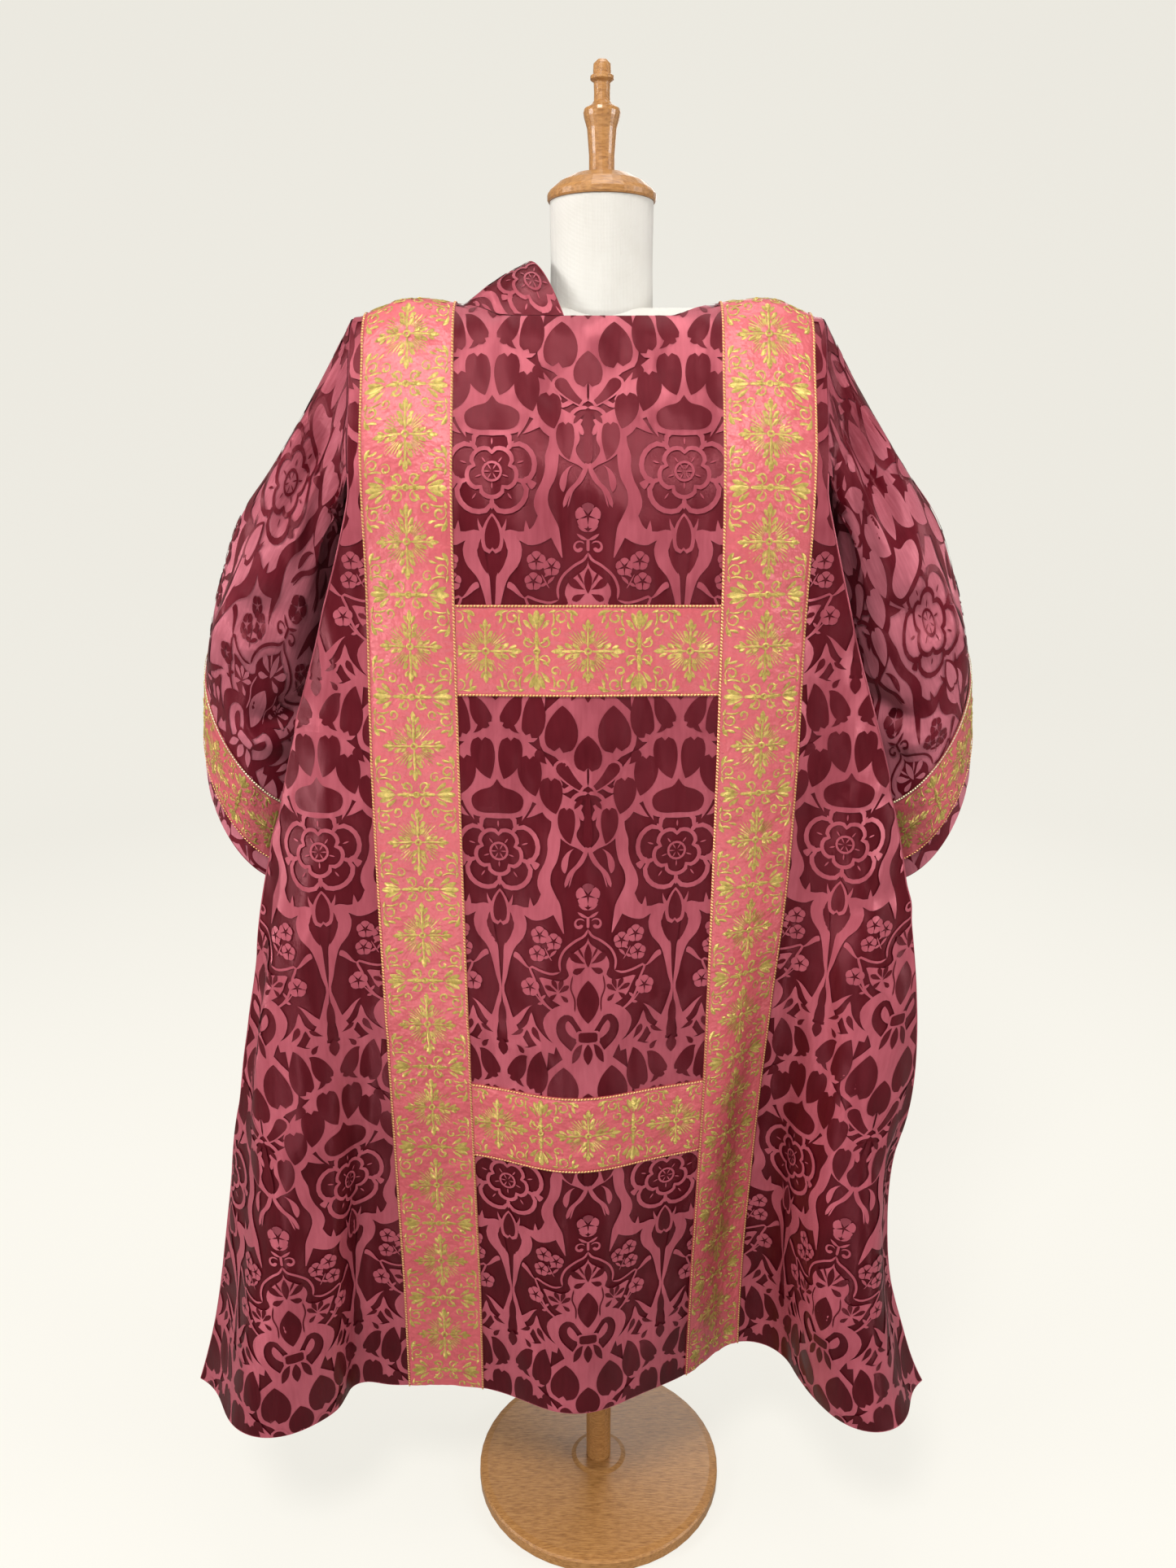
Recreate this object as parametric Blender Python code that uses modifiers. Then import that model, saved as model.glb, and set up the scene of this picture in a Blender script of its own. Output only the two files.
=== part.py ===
"""A dalmatic of rose damask with gold-embroidered bands, worn by a limbless dress form on a round base.

Metres, +Z up. The garment's back faces -Y, its front +Y, and the origin is on the floor below the form's axis.
The cloth is worked out in its own flat coordinates: u is the distance across from the centre line, and v the
distance along the cloth from the shoulder ridge, positive down the back and negative down the front.
"""

import math

import bmesh
import bpy
import numpy as np

COLLECTION = "dalmatic_on_dress_form"
HELPERS = "dalmatic_helpers"

# The garment's cut
BAND_WIDTH = 0.092
BAND_INNER = 0.1325
BAND_OUTER = BAND_INNER + BAND_WIDTH
SEAM_U = BAND_OUTER + 0.012
BODY_LENGTH = 1.258
ARMHOLE_DEPTH = 0.190
FLARE_START = 0.205
FLARE = 0.313
UPPER_BAR_TOP = 0.322
LOWER_BAR_TOP = 0.843
BACK_NECK_DROP = 0.030
BACK_NECK_FLAT = 0.0885
FRONT_NECK_DROP = 0.120
FRONT_NECK_FLAT = 0.050
FLAP_BACK_END = 0.024
FLAP_FRONT_END = 0.064

# How the garment stands in space
RIDGE_HEIGHT = 1.455
RIDGE_Y = 0.0
SHOULDER_DROP = 0.012
SHOULDER_RISE = 0.004
SHOULDER_FADE = 0.35

# The centre line's place: it puts the middle of the whole object's box over the origin
AXIS_X = 0.0113158
AXIS_Y = 0.0002228

# Wall thicknesses and the gap between pieces
CLOTH = 0.0020
BAND = 0.0012
GAP = 0.0003

# The dress form and its stand
FORM_X = 0.014
FORM_Y = 0.0045
NECK_FORWARD = 0.032
FORM_SIDES = 36
POLE_RADIUS = 0.016
BASE_HEIGHT = 0.024

# The way the cloth heads from the ridge: 0 degrees is level and outwards, 90 is straight down
HEADING = {
    "distance": (0.00, 0.03, 0.06, 0.09, 0.13, 0.18, 0.26, 0.36, 0.50, 0.75, 1.30),
    "back": (0.0, 50.0, 70.0, 68.0, 64.0, 74.0, 87.0, 91.0, 90.5, 90.0, 90.0),
    "front": (0.0, 24.0, 38.0, 48.0, 62.0, 76.0, 87.0, 91.5, 91.0, 90.5, 90.0),
}

# Each fold: u of its crest at the hem, its spread there, how far it stands out, where it starts along v, its growth
BACK_FOLDS = (
    {"u": -0.015, "spread": 0.089, "out": 0.048, "start": 0.240, "power": 0.800},
    {"u": -0.427, "spread": 0.111, "out": 0.096, "start": 0.240, "power": 0.800},
    {"u": -0.285, "spread": 0.031, "out": -0.018, "start": 0.497, "power": 1.279},
    {"u": 0.235, "spread": 0.085, "out": -0.070, "start": 0.240, "power": 0.800},
    {"u": 0.453, "spread": 0.095, "out": 0.093, "start": 0.240, "power": 1.296},
)
FRONT_FOLDS = (
    {"u": 0.020, "spread": 0.070, "out": 0.036, "start": 0.50, "power": 1.0},
    {"u": -0.410, "spread": 0.056, "out": 0.086, "start": 0.50, "power": 1.2},
    {"u": -0.245, "spread": 0.060, "out": -0.034, "start": 0.45, "power": 1.0},
    {"u": 0.250, "spread": 0.060, "out": -0.030, "start": 0.50, "power": 1.0},
    {"u": 0.400, "spread": 0.056, "out": 0.094, "start": 0.45, "power": 1.2},
)

# Grid steps: down the armhole, across each wing, and round a sleeve
ARMHOLE_STEPS = 10
WING_STEPS = 7
SLEEVE_SIDES = 28

# A sleeve's sections, for the wearer's left as seen from behind: arm is its upper line, under its lower line,
# out its half-thickness, and turn how far its broad side has turned from facing back to facing outwards
SLEEVE_SECTIONS = {
    "t": (0.00, 0.18, 0.36, 0.56, 0.78, 1.00),
    "arm_x": (-0.2365, -0.274, -0.327, -0.380, -0.408, -0.425),
    "arm_y": (0.006, 0.002, 0.002, 0.021, 0.082, 0.146),
    "arm_z": (1.443, 1.372, 1.285, 1.190, 1.105, 1.030),
    "under_x": (-0.2365, -0.252, -0.275, -0.300, -0.322, -0.345),
    "under_y": (0.015, 0.022, 0.026, 0.032, 0.036, 0.046),
    "under_z": (1.265, 1.200, 1.108, 1.005, 0.902, 0.822),
    "out": (0.104, 0.092, 0.086, 0.084, 0.084, 0.084),
    "turn": (0.0, 8.0, 16.0, 24.0, 30.0, 35.0),
}
# The band round each sleeve lies between these two sections
BAND_RINGS = (0.745, 0.930)

# The torso's level sections, measured backwards and forwards from the form's axis
FORM_SECTIONS = {
    "z": (0.680, 0.700, 0.800, 0.900, 1.000, 1.070, 1.160, 1.240, 1.310, 1.360, 1.395, 1.415,
          1.433, 1.444, 1.450, 1.4522),
    "half_width": (0.140, 0.152, 0.170, 0.172, 0.158, 0.150, 0.158, 0.170, 0.184, 0.194, 0.197, 0.197,
                   0.194, 0.185, 0.172, 0.152),
    "back": (0.070, 0.078, 0.086, 0.086, 0.080, 0.078, 0.086, 0.092, 0.080, 0.063, 0.046, 0.038,
             0.029, 0.020, 0.012, 0.005),
    "front": (0.094, 0.102, 0.108, 0.108, 0.102, 0.100, 0.110, 0.114, 0.108, 0.095, 0.074, 0.057,
              0.036, 0.018, 0.005, 0.000),
    "steps": (1, 2, 2, 2, 1, 2, 1, 1, 1, 1, 1, 1, 1, 1, 1),
}
NECK = {"z": (1.330, 1.450, 1.500, 1.556), "radius": (0.0535, 0.0535, 0.0525, 0.0530)}

# Turned outlines, from the top of the outer side down
FINIAL_OUTLINE = {
    "r": (0.0, 0.0050, 0.0086, 0.0089, 0.0090, 0.0118, 0.0118, 0.0084, 0.0080, 0.0082, 0.0105, 0.0180,
          0.0187, 0.0180, 0.0150, 0.0130, 0.0130, 0.0),
    "z": (1.6860, 1.6855, 1.6820, 1.6770, 1.6730, 1.6710, 1.6680, 1.6655, 1.6560, 1.6490, 1.6460, 1.6415,
          1.6385, 1.6340, 1.6240, 1.6000, 1.5843, 1.5843),
}
CAP_OUTLINE = {
    "r": (0.0, 0.0150, 0.0300, 0.0440, 0.0530, 0.0555, 0.0555, 0.0545, 0.0),
    "z": (1.5840, 1.5840, 1.5810, 1.5740, 1.5665, 1.5630, 1.5580, 1.5563, 1.5563),
}
BASE_OUTLINE = {
    "r": (0.0, 0.0300, 0.0360, 0.1480, 0.1560, 0.1580, 0.1580, 0.1560, 0.0),
    "z": (BASE_HEIGHT, BASE_HEIGHT, 0.0220, 0.0180, 0.0165, 0.0140, 0.0015, 0.0, 0.0),
}


def smooth(t):
    """The soft step from 0 to 1 as t goes from 0 to 1."""
    t = np.clip(t, 0.0, 1.0)
    return t * t * (3.0 - 2.0 * t)


def half_width(s):
    """The cloth's half-width at distance s along it: straight past the armhole, then flared to the hem."""
    past = np.maximum(np.asarray(s, float) - FLARE_START, 0.0)
    return SEAM_U + FLARE * past * past / (past + 0.02)


HEM_HALF_WIDTH = float(half_width(BODY_LENGTH))


def fold_out(u, s, folds):
    """How far the cloth stands out at (u, s): the folds fan out with the flare and grow towards the hem."""
    out = np.zeros(np.broadcast(u, s).shape)
    spread_share = (half_width(s) - BAND_OUTER) / (HEM_HALF_WIDTH - BAND_OUTER)
    for fold in folds:
        side = math.copysign(1.0, fold["u"])
        beyond = max(abs(fold["u"]) - BAND_OUTER, 0.0)
        crest = side * (abs(fold["u"]) - beyond * (1.0 - spread_share))
        spread = fold["spread"] * (0.35 + 0.65 * spread_share if beyond else 1.0)
        grown = smooth((s - fold["start"]) / (BODY_LENGTH - fold["start"])) ** fold["power"]
        out = out + fold["out"] * grown * np.exp(-(((u - crest) / spread) ** 2))
    return out


def stand_out(u, s, back):
    """The folds, and the cloth's own roundness: it falls away at the sides under the shoulders and at the hem."""
    edge = np.abs(u) / half_width(s)
    sides = -0.030 * smooth((s - 0.10) / 0.30) * smooth((edge - 0.55) / 0.45)
    hip = 0.020 * np.exp(-(((s - 0.78) / 0.20) ** 2)) * np.exp(-((u / 0.26) ** 2))
    if back:
        return fold_out(u, s, BACK_FOLDS) + sides + hip
    wrapped = smooth((s - ARMHOLE_DEPTH) / 0.15) * (1.0 - 0.26 * smooth((s - 0.80) / 0.40))
    beyond = np.maximum(np.abs(u) - 0.205, 0.0)
    wrap = -0.85 * wrapped * beyond**2 / (beyond + 0.012)
    return fold_out(u, s, FRONT_FOLDS) + wrap + hip


def profile(s, back):
    """Distance outwards and downwards from the ridge of the unfolded cloth, by adding up its heading."""
    steps = np.linspace(0.0, 1.30, 1301)
    heading = np.radians(np.interp(steps, HEADING["distance"], HEADING["back" if back else "front"]))
    length = steps[1]
    run = np.concatenate([[0.0], np.cumsum((np.cos(heading[1:]) + np.cos(heading[:-1])) / 2 * length)])
    drop = np.concatenate([[0.0], np.cumsum((np.sin(heading[1:]) + np.sin(heading[:-1])) / 2 * length)])
    return np.interp(s, steps, run), np.interp(s, steps, drop)


def drape(u, v):
    """The cloth's outer surface at (u, v). Folds draw x in, so that each row keeps its flat width."""
    u, v = np.broadcast_arrays(np.asarray(u, float), np.asarray(v, float))
    points = np.zeros(u.shape + (3,))
    for back in (True, False):
        chosen = v >= 0 if back else v < 0
        uu, s = u[chosen], np.abs(v[chosen])
        run, drop = profile(s, back)
        share = np.linspace(0.0, 1.0, 41)[:, None]
        along = stand_out(share * uu, s, back)
        step = uu / 40.0
        rise = np.diff(along, axis=0)
        inward = np.sqrt(np.maximum(step**2 - rise**2, (0.25 * step) ** 2)).sum(axis=0)
        outward = run + along[-1]
        shoulder = SHOULDER_DROP * smooth((np.abs(uu) - 0.185) / (SEAM_U - 0.185))
        shoulder = shoulder - SHOULDER_RISE * np.exp(-(((np.abs(uu) - 0.172) / 0.032) ** 2))
        points[chosen, 0] = np.sign(uu) * inward
        points[chosen, 1] = RIDGE_Y - outward if back else RIDGE_Y + outward
        points[chosen, 2] = RIDGE_HEIGHT - drop - shoulder * (1.0 - smooth(s / SHOULDER_FADE))
    return points


def normals_of(surface, a, b, step=2e-4):
    """Unit normals of a surface at its two parameters, from its slopes."""
    across = surface(a + step, b) - surface(a - step, b)
    along = surface(a, b - step) - surface(a, b + step)
    normal = np.cross(across, along)
    return normal / np.linalg.norm(normal, axis=-1, keepdims=True)


def subdivided(stations, steps):
    """Values from each station to the next, cut into equal steps."""
    parts = [np.linspace(a, b, n + 1)[:-1] for a, b, n in zip(stations, stations[1:], steps)]
    return np.concatenate(parts + [[stations[-1]]])


ARMHOLE_ROWS = ARMHOLE_DEPTH * np.linspace(0.0, 1.0, ARMHOLE_STEPS + 1) ** 1.35
ROW_STATIONS = (
    ARMHOLE_DEPTH,
    UPPER_BAR_TOP,
    UPPER_BAR_TOP + BAND_WIDTH,
    LOWER_BAR_TOP,
    LOWER_BAR_TOP + BAND_WIDTH,
    BODY_LENGTH,
)
ROWS = np.concatenate([ARMHOLE_ROWS[:-1], subdivided(ROW_STATIONS, (3, 2, 7, 2, 6))])
MIDDLE = subdivided(
    (-BAND_OUTER, -BAND_INNER, -BACK_NECK_FLAT, BACK_NECK_FLAT, BAND_INNER, BAND_OUTER), (2, 2, 4, 2, 2)
)
def neck_edge(u, back):
    """Where the neckline crosses each column: level across the middle, then up to the ridge at the bands."""
    drop, flat = (BACK_NECK_DROP, BACK_NECK_FLAT) if back else (FRONT_NECK_DROP, FRONT_NECK_FLAT)
    return drop * np.clip((BAND_INNER - np.abs(u)) / (BAND_INNER - flat), 0.0, 1.0)


def panel_grid(back):
    """u and v of a body panel's points, rows from the back hem up, or from the front neck down."""
    share = np.linspace(0.0, 1.0, WING_STEPS + 1)[1:]
    rows = np.maximum(ROWS, GAP / 2)
    wing = BAND_OUTER + share * (half_width(rows)[:, None] - BAND_OUTER)
    middle = np.broadcast_to(MIDDLE, (len(rows), len(MIDDLE)))
    u = np.hstack([-wing[:, ::-1], middle, wing])
    above = np.clip(1.0 - rows / ARMHOLE_DEPTH, 0.0, 1.0)[:, None]
    v = rows[:, None] + neck_edge(u, back) * above
    return (u[::-1], v[::-1]) if back else (u, -v)


def material(name, colour, roughness, metallic=0.0):
    """A plain Principled BSDF."""
    made = bpy.data.materials.new(name)
    made.use_nodes = True
    shader = made.node_tree.nodes["Principled BSDF"]
    shader.inputs["Base Color"].default_value = (*colour, 1.0)
    shader.inputs["Roughness"].default_value = roughness
    shader.inputs["Metallic"].default_value = metallic
    return made


def add_object(name, bm, finish):
    """Writes the mesh into a named object of the collection."""
    bmesh.ops.recalc_face_normals(bm, faces=bm.faces[:])
    bmesh.ops.translate(bm, verts=bm.verts[:], vec=(AXIS_X, AXIS_Y, 0.0))
    mesh = bpy.data.meshes.new(name)
    bm.to_mesh(mesh)
    bm.free()
    mesh.shade_smooth()
    mesh.set_sharp_from_angle(angle=math.radians(50.0))
    mesh.materials.append(finish)
    made = bpy.data.objects.new(name, mesh)
    bpy.data.collections[COLLECTION].objects.link(made)
    return made


def cloth_wall(name, points, offsets, finish, closed=False):
    """A cloth wall: a grid laid on points, extruded by offsets. A closed wall's last column is its first."""
    rows, columns = points.shape[:2]
    bm = bmesh.new()
    bmesh.ops.create_grid(bm, x_segments=columns - 1, y_segments=rows - 1, size=1.0)
    bm.verts.ensure_lookup_table()
    places = {}
    for vert, place, offset in zip(bm.verts, points.reshape(-1, 3), offsets.reshape(-1, 3)):
        vert.co = place
        places[tuple(vert.co)] = offset
    if closed:
        bmesh.ops.remove_doubles(bm, verts=bm.verts[:], dist=1e-6)
    bmesh.ops.triangulate(bm, faces=bm.faces[:], quad_method="FIXED")
    grown = bmesh.ops.extrude_face_region(bm, geom=bm.faces[:], use_keep_orig=True)
    for item in grown["geom"]:
        if isinstance(item, bmesh.types.BMVert):
            item.co = np.array(item.co) + places[tuple(item.co)]
    return add_object(name, bm, finish)


def body_panel(name, back, finish):
    """The back or front panel, from the neckline and shoulder ridge to the hem."""
    u, v = panel_grid(back)
    return cloth_wall(name, drape(u, v), -CLOTH * normals_of(drape, u, v), finish)


def clavus(name, side, finish):
    """A long band from the back hem over the shoulder to the front hem."""
    across = subdivided((BAND_INNER, BAND_OUTER), (2,))
    across = across if side > 0 else -across[::-1]
    u, v = np.meshgrid(across, np.concatenate([ROWS[::-1], -ROWS[1:]]))
    normal = normals_of(drape, u, v)
    return cloth_wall(name, drape(u, v) + GAP * normal, BAND * normal, finish)


def crossbar(name, top, back, finish):
    """A short band between the long ones."""
    inner = MIDDLE[(MIDDLE >= -BAND_INNER - 1e-9) & (MIDDLE <= BAND_INNER + 1e-9)]
    down = subdivided((top, top + BAND_WIDTH), (2,))
    u, v = np.meshgrid(inner, down[::-1] if back else -down)
    points, normal = drape(u, v), normals_of(drape, u, v)
    for edge, beside in ((0, 1), (-1, -2)):
        share = GAP / np.abs(u[:, beside] - u[:, edge])[:, None]
        points[:, edge] += share * (points[:, beside] - points[:, edge])
    return cloth_wall(name, points + GAP * normal, BAND * normal, finish)


SEAM_TURN = 2 * math.pi * ARMHOLE_STEPS / SLEEVE_SIDES
SLEEVE_RINGS = subdivided((0.0, 0.18, BAND_RINGS[0], BAND_RINGS[1], 1.0), (3, 6, 2, 1))


def curve_through(t, knots, values):
    """A smooth curve through the values at the knots, with slopes taken from their neighbours."""
    knots, values = np.asarray(knots, float), np.asarray(values, float)
    slopes = np.gradient(values, knots)
    i = np.clip(np.searchsorted(knots, t, side="right") - 1, 0, len(knots) - 2)
    gap = knots[i + 1] - knots[i]
    x = (t - knots[i]) / gap
    return (
        values[i] * (1 + 2 * x) * (1 - x) ** 2
        + slopes[i] * gap * x * (1 - x) ** 2
        + values[i + 1] * x * x * (3 - 2 * x)
        + slopes[i + 1] * gap * x * x * (x - 1)
    )


def sleeve_ring(t, turn, mirror):
    """A point of the sleeve's sections: t along the sleeve, turn round it from the arm line over the back."""
    row = {key: curve_through(t, SLEEVE_SECTIONS["t"], SLEEVE_SECTIONS[key]) for key in SLEEVE_SECTIONS}
    arm = np.stack([row["arm_x"], row["arm_y"], row["arm_z"]], axis=-1)
    under = np.stack([row["under_x"], row["under_y"], row["under_z"]], axis=-1)
    facing = np.radians(row["turn"])
    broad = np.stack([-np.sin(facing), -np.cos(facing), np.zeros_like(facing)], axis=-1)
    points = (arm + under) / 2 + np.cos(turn)[..., None] * (arm - under) / 2
    points = points + (row["out"] * np.sin(turn))[..., None] * broad
    points[..., 0] *= -mirror
    return points


def armhole(turn, mirror):
    """The armhole seam: over the ridge and down both panels' edges, bridged under the arm."""
    back = turn <= math.pi
    from_top = np.where(back, turn, 2 * math.pi - turn)
    share = np.clip(from_top / SEAM_TURN, 0.0, 1.0)
    v = np.where(back, 1.0, -1.0) * ARMHOLE_DEPTH * share**1.35
    seam = drape(np.full_like(v, mirror * SEAM_U), v)
    ends = [drape(np.array([mirror * SEAM_U]), np.array([sign * ARMHOLE_DEPTH]))[0] for sign in (1.0, -1.0)]
    under = np.clip((turn - SEAM_TURN) / (2 * math.pi - 2 * SEAM_TURN), 0.0, 1.0)[..., None]
    bridge = ends[0] * (1 - under) + ends[1] * under
    bridge[..., 2] -= 0.030 * np.sin(math.pi * under[..., 0])
    return np.where((from_top <= SEAM_TURN + 1e-6)[..., None], seam, bridge)


def sleeve(t, turn, mirror):
    """The sleeve's outer surface: it leaves the armhole seam and takes up its own sections."""
    leave = (1.0 - smooth(t / 0.42))[..., None]
    start = armhole(turn, mirror) - sleeve_ring(np.zeros_like(t), turn, mirror)
    start[..., 0] += mirror * GAP
    return sleeve_ring(t, turn, mirror) + leave * start


def sleeve_grid(rings, mirror):
    """Points and outward normals of the sleeve at these rings."""
    t, turn = np.meshgrid(rings, np.linspace(0.0, 2 * math.pi, SLEEVE_SIDES + 1), indexing="ij")
    outward = mirror * normals_of(lambda a, b: sleeve(a, b, mirror), t, turn)
    outward[:, -1] = outward[:, 0]
    return sleeve(t, turn, mirror), outward


def sleeve_wall(name, mirror, finish):
    """A sleeve, from the armhole seam to its open cuff, mitred to the panels' edges at the seam."""
    points, outward = sleeve_grid(SLEEVE_RINGS, mirror)
    rows = ARMHOLE_ROWS[: ARMHOLE_STEPS + 1]
    columns = np.arange(ARMHOLE_STEPS + 1)
    for side, places in ((1.0, columns), (-1.0, SLEEVE_SIDES - columns)):
        outward[0, places] = normals_of(drape, np.full(len(rows), mirror * SEAM_U), side * np.maximum(rows, 1e-6))
    outward[0, -1] = outward[0, 0]
    return cloth_wall(name, points, -CLOTH * outward, finish, closed=True)


def sleeve_band(name, mirror, finish):
    """The band round a sleeve, a little above its cuff."""
    inside = (SLEEVE_RINGS >= BAND_RINGS[0] - 1e-9) & (SLEEVE_RINGS <= BAND_RINGS[1] + 1e-9)
    points, outward = sleeve_grid(SLEEVE_RINGS[inside], mirror)
    return cloth_wall(name, points + GAP * outward, BAND * outward, finish, closed=True)


def neck_seam(u, back):
    """Points just above a panel's neck edge, straight between the panel's columns like the edge itself."""
    v = np.maximum(neck_edge(MIDDLE, back), GAP / 2) - 2 * GAP
    places = drape(MIDDLE, v if back else -v)
    return np.stack([np.interp(u, MIDDLE, places[:, k]) for k in range(3)], axis=-1)


def neck_flap(name, finish):
    """The fastening flap: it joins both necklines on one side and climbs against the neck."""
    inwards, over = np.meshgrid(np.linspace(0.0, 1.0, 9), np.linspace(0.0, 1.0, 15), indexing="ij")
    outer = -BAND_INNER + 0.007

    def surface(a, b):
        back_u = outer + (-FLAP_BACK_END - outer) * a
        front_u = outer + (-FLAP_FRONT_END - outer) * a
        arch = np.sin(math.pi * np.clip(b, 0.0, 1.0))
        u = back_u * (1 - b) + front_u * b
        v = neck_edge(back_u, True) * (1 - b) - neck_edge(front_u, False) * b
        points = drape(u, v)
        points += (1 - b)[..., None] * (neck_seam(back_u, True) - drape(back_u, neck_edge(back_u, True)))
        points += b[..., None] * (neck_seam(front_u, False) - drape(front_u, -neck_edge(front_u, False)))
        points[..., 0] -= 0.020 * a * arch
        points[..., 2] += 0.050 * a * arch
        return points

    normal = -normals_of(surface, inwards, over)
    return cloth_wall(name, surface(inwards, over), -CLOTH * normal, finish)


def lofted(rings):
    """A closed body through level rings of points, with a flat face at each end."""
    bm = bmesh.new()
    rings = [[bm.verts.new(place) for place in ring] for ring in rings]
    for low, high in zip(rings, rings[1:]):
        for i in range(len(low)):
            j = (i + 1) % len(low)
            bm.faces.new((low[i], low[j], high[j], high[i]))
    bm.faces.new(rings[0][::-1])
    bm.faces.new(rings[-1])
    return bm


def dress_form(name, finish):
    """The limbless torso, joined to its neck by a Boolean union."""
    turn = np.linspace(0.0, 2 * math.pi, FORM_SIDES, endpoint=False)
    across = np.sign(np.cos(turn)) * np.abs(np.cos(turn)) ** (2 / 2.4)
    along = np.sign(np.sin(turn)) * np.abs(np.sin(turn)) ** (2 / 2.4)
    z = subdivided(FORM_SECTIONS["z"], FORM_SECTIONS["steps"])
    measured = ("half_width", "back", "front")
    row = {key: np.interp(z, FORM_SECTIONS["z"], FORM_SECTIONS[key])[:, None] for key in measured}
    centre, depth = (row["front"] - row["back"]) / 2, (row["front"] + row["back"]) / 2
    level = np.broadcast_to(z[:, None], (len(z), FORM_SIDES))
    rings = np.stack([FORM_X + row["half_width"] * across, FORM_Y + centre + depth * along, level], axis=-1)
    torso = add_object(name, lofted(rings), finish)
    radius, level = np.array(NECK["radius"])[:, None], np.array(NECK["z"])[:, None] + 0.0 * turn
    rings = np.stack(
        [FORM_X + radius * np.cos(turn), FORM_Y + NECK_FORWARD + radius * np.sin(turn), level], axis=-1
    )
    neck = add_object("neck_core", lofted(rings), finish)
    bpy.data.collections[COLLECTION].objects.unlink(neck)
    bpy.data.collections[HELPERS].objects.link(neck)
    neck.hide_render = True
    neck.display_type = "WIRE"
    join = torso.modifiers.new("Neck", "BOOLEAN")
    join.operation = "UNION"
    join.solver = "EXACT"
    join.object = neck
    return torso


def turned(name, radii, heights, place, finish, steps=32):
    """A turned part: its outline runs down the outer side, and the Screw modifier spins it about its axis."""
    mesh = bpy.data.meshes.new(name)
    outline = [(r, 0.0, z) for r, z in zip(radii, heights)]
    mesh.from_pydata(outline, [(i, i + 1) for i in range(len(outline) - 1)], [])
    mesh.materials.append(finish)
    made = bpy.data.objects.new(name, mesh)
    made.location = (AXIS_X + place[0], AXIS_Y + place[1], 0.0)
    screw = made.modifiers.new("Turn", "SCREW")
    screw.steps = screw.render_steps = steps
    screw.use_merge_vertices = True
    screw.merge_threshold = 0.0001
    bpy.data.collections[COLLECTION].objects.link(made)
    return made


def main():
    for old in list(bpy.data.objects):
        bpy.data.objects.remove(old)
    for collection in (COLLECTION, HELPERS):
        bpy.context.scene.collection.children.link(bpy.data.collections.new(collection))
    damask = material("damask", (0.30, 0.045, 0.075), 0.45)
    brocade = material("brocade", (0.75, 0.16, 0.17), 0.5)
    jersey = material("jersey", (0.80, 0.77, 0.71), 0.9)
    wood = material("oak", (0.42, 0.21, 0.075), 0.4)
    body_panel("back_panel", True, damask)
    body_panel("front_panel", False, damask)
    neck_flap("neck_flap", damask)
    for label, side in (("left", -1), ("right", 1)):
        clavus(f"long_band_{label}", side, brocade)
        sleeve_wall(f"sleeve_{label}", side, damask)
        sleeve_band(f"sleeve_band_{label}", side, brocade)
    for label, top in (("upper", UPPER_BAR_TOP), ("lower", LOWER_BAR_TOP)):
        crossbar(f"{label}_crossbar_back", top, True, brocade)
        crossbar(f"{label}_crossbar_front", top, False, brocade)
    dress_form("form_torso", jersey)
    stand = (FORM_X, FORM_Y)
    neck_place = (FORM_X, FORM_Y + NECK_FORWARD)
    turned("neck_cap", CAP_OUTLINE["r"], CAP_OUTLINE["z"], neck_place, wood)
    turned("finial", FINIAL_OUTLINE["r"], FINIAL_OUTLINE["z"], neck_place, wood, 24)
    pole_top = FORM_SECTIONS["z"][0] - GAP
    pole_foot = BASE_HEIGHT + GAP
    turned("pole", (0.0, POLE_RADIUS, POLE_RADIUS, 0.0), (pole_top, pole_top, pole_foot, pole_foot), stand, wood, 24)
    turned("base", BASE_OUTLINE["r"], BASE_OUTLINE["z"], stand, wood, 48)


main()
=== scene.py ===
"""The looks of a rose damask dalmatic on a limbless dress form, seen from behind.

Metres, +Z up; the garment's back faces -Y. The cloth is worked out in flat coordinates: u across from the
centre line and v along from the shoulder ridge, positive down the back and negative down the front. Figures
are charted in millimetres and laid on the cloth through those coordinates.
"""

import logging
import math
from dataclasses import dataclass, replace
from enum import Enum
from typing import Any, Iterable, Sequence

import bpy
import numpy as np
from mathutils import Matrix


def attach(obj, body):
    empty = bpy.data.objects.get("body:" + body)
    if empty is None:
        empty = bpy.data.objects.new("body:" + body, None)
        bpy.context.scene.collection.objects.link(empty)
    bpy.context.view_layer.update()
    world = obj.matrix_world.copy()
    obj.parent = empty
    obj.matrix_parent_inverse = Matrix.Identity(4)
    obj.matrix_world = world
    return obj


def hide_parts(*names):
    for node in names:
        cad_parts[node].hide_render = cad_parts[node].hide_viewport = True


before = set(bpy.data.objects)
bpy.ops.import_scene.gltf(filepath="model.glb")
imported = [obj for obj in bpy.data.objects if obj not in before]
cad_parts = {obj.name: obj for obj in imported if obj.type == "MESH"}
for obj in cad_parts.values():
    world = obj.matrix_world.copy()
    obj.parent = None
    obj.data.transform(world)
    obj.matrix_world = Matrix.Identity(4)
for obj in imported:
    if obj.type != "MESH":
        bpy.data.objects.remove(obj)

LOG = logging.getLogger("dalmatic")
BODY = "root"
MM = 0.001
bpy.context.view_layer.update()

Array = np.ndarray
Colour = tuple[float, float, float]
Points = tuple[tuple[float, float], ...]


# The garment's cut


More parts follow.
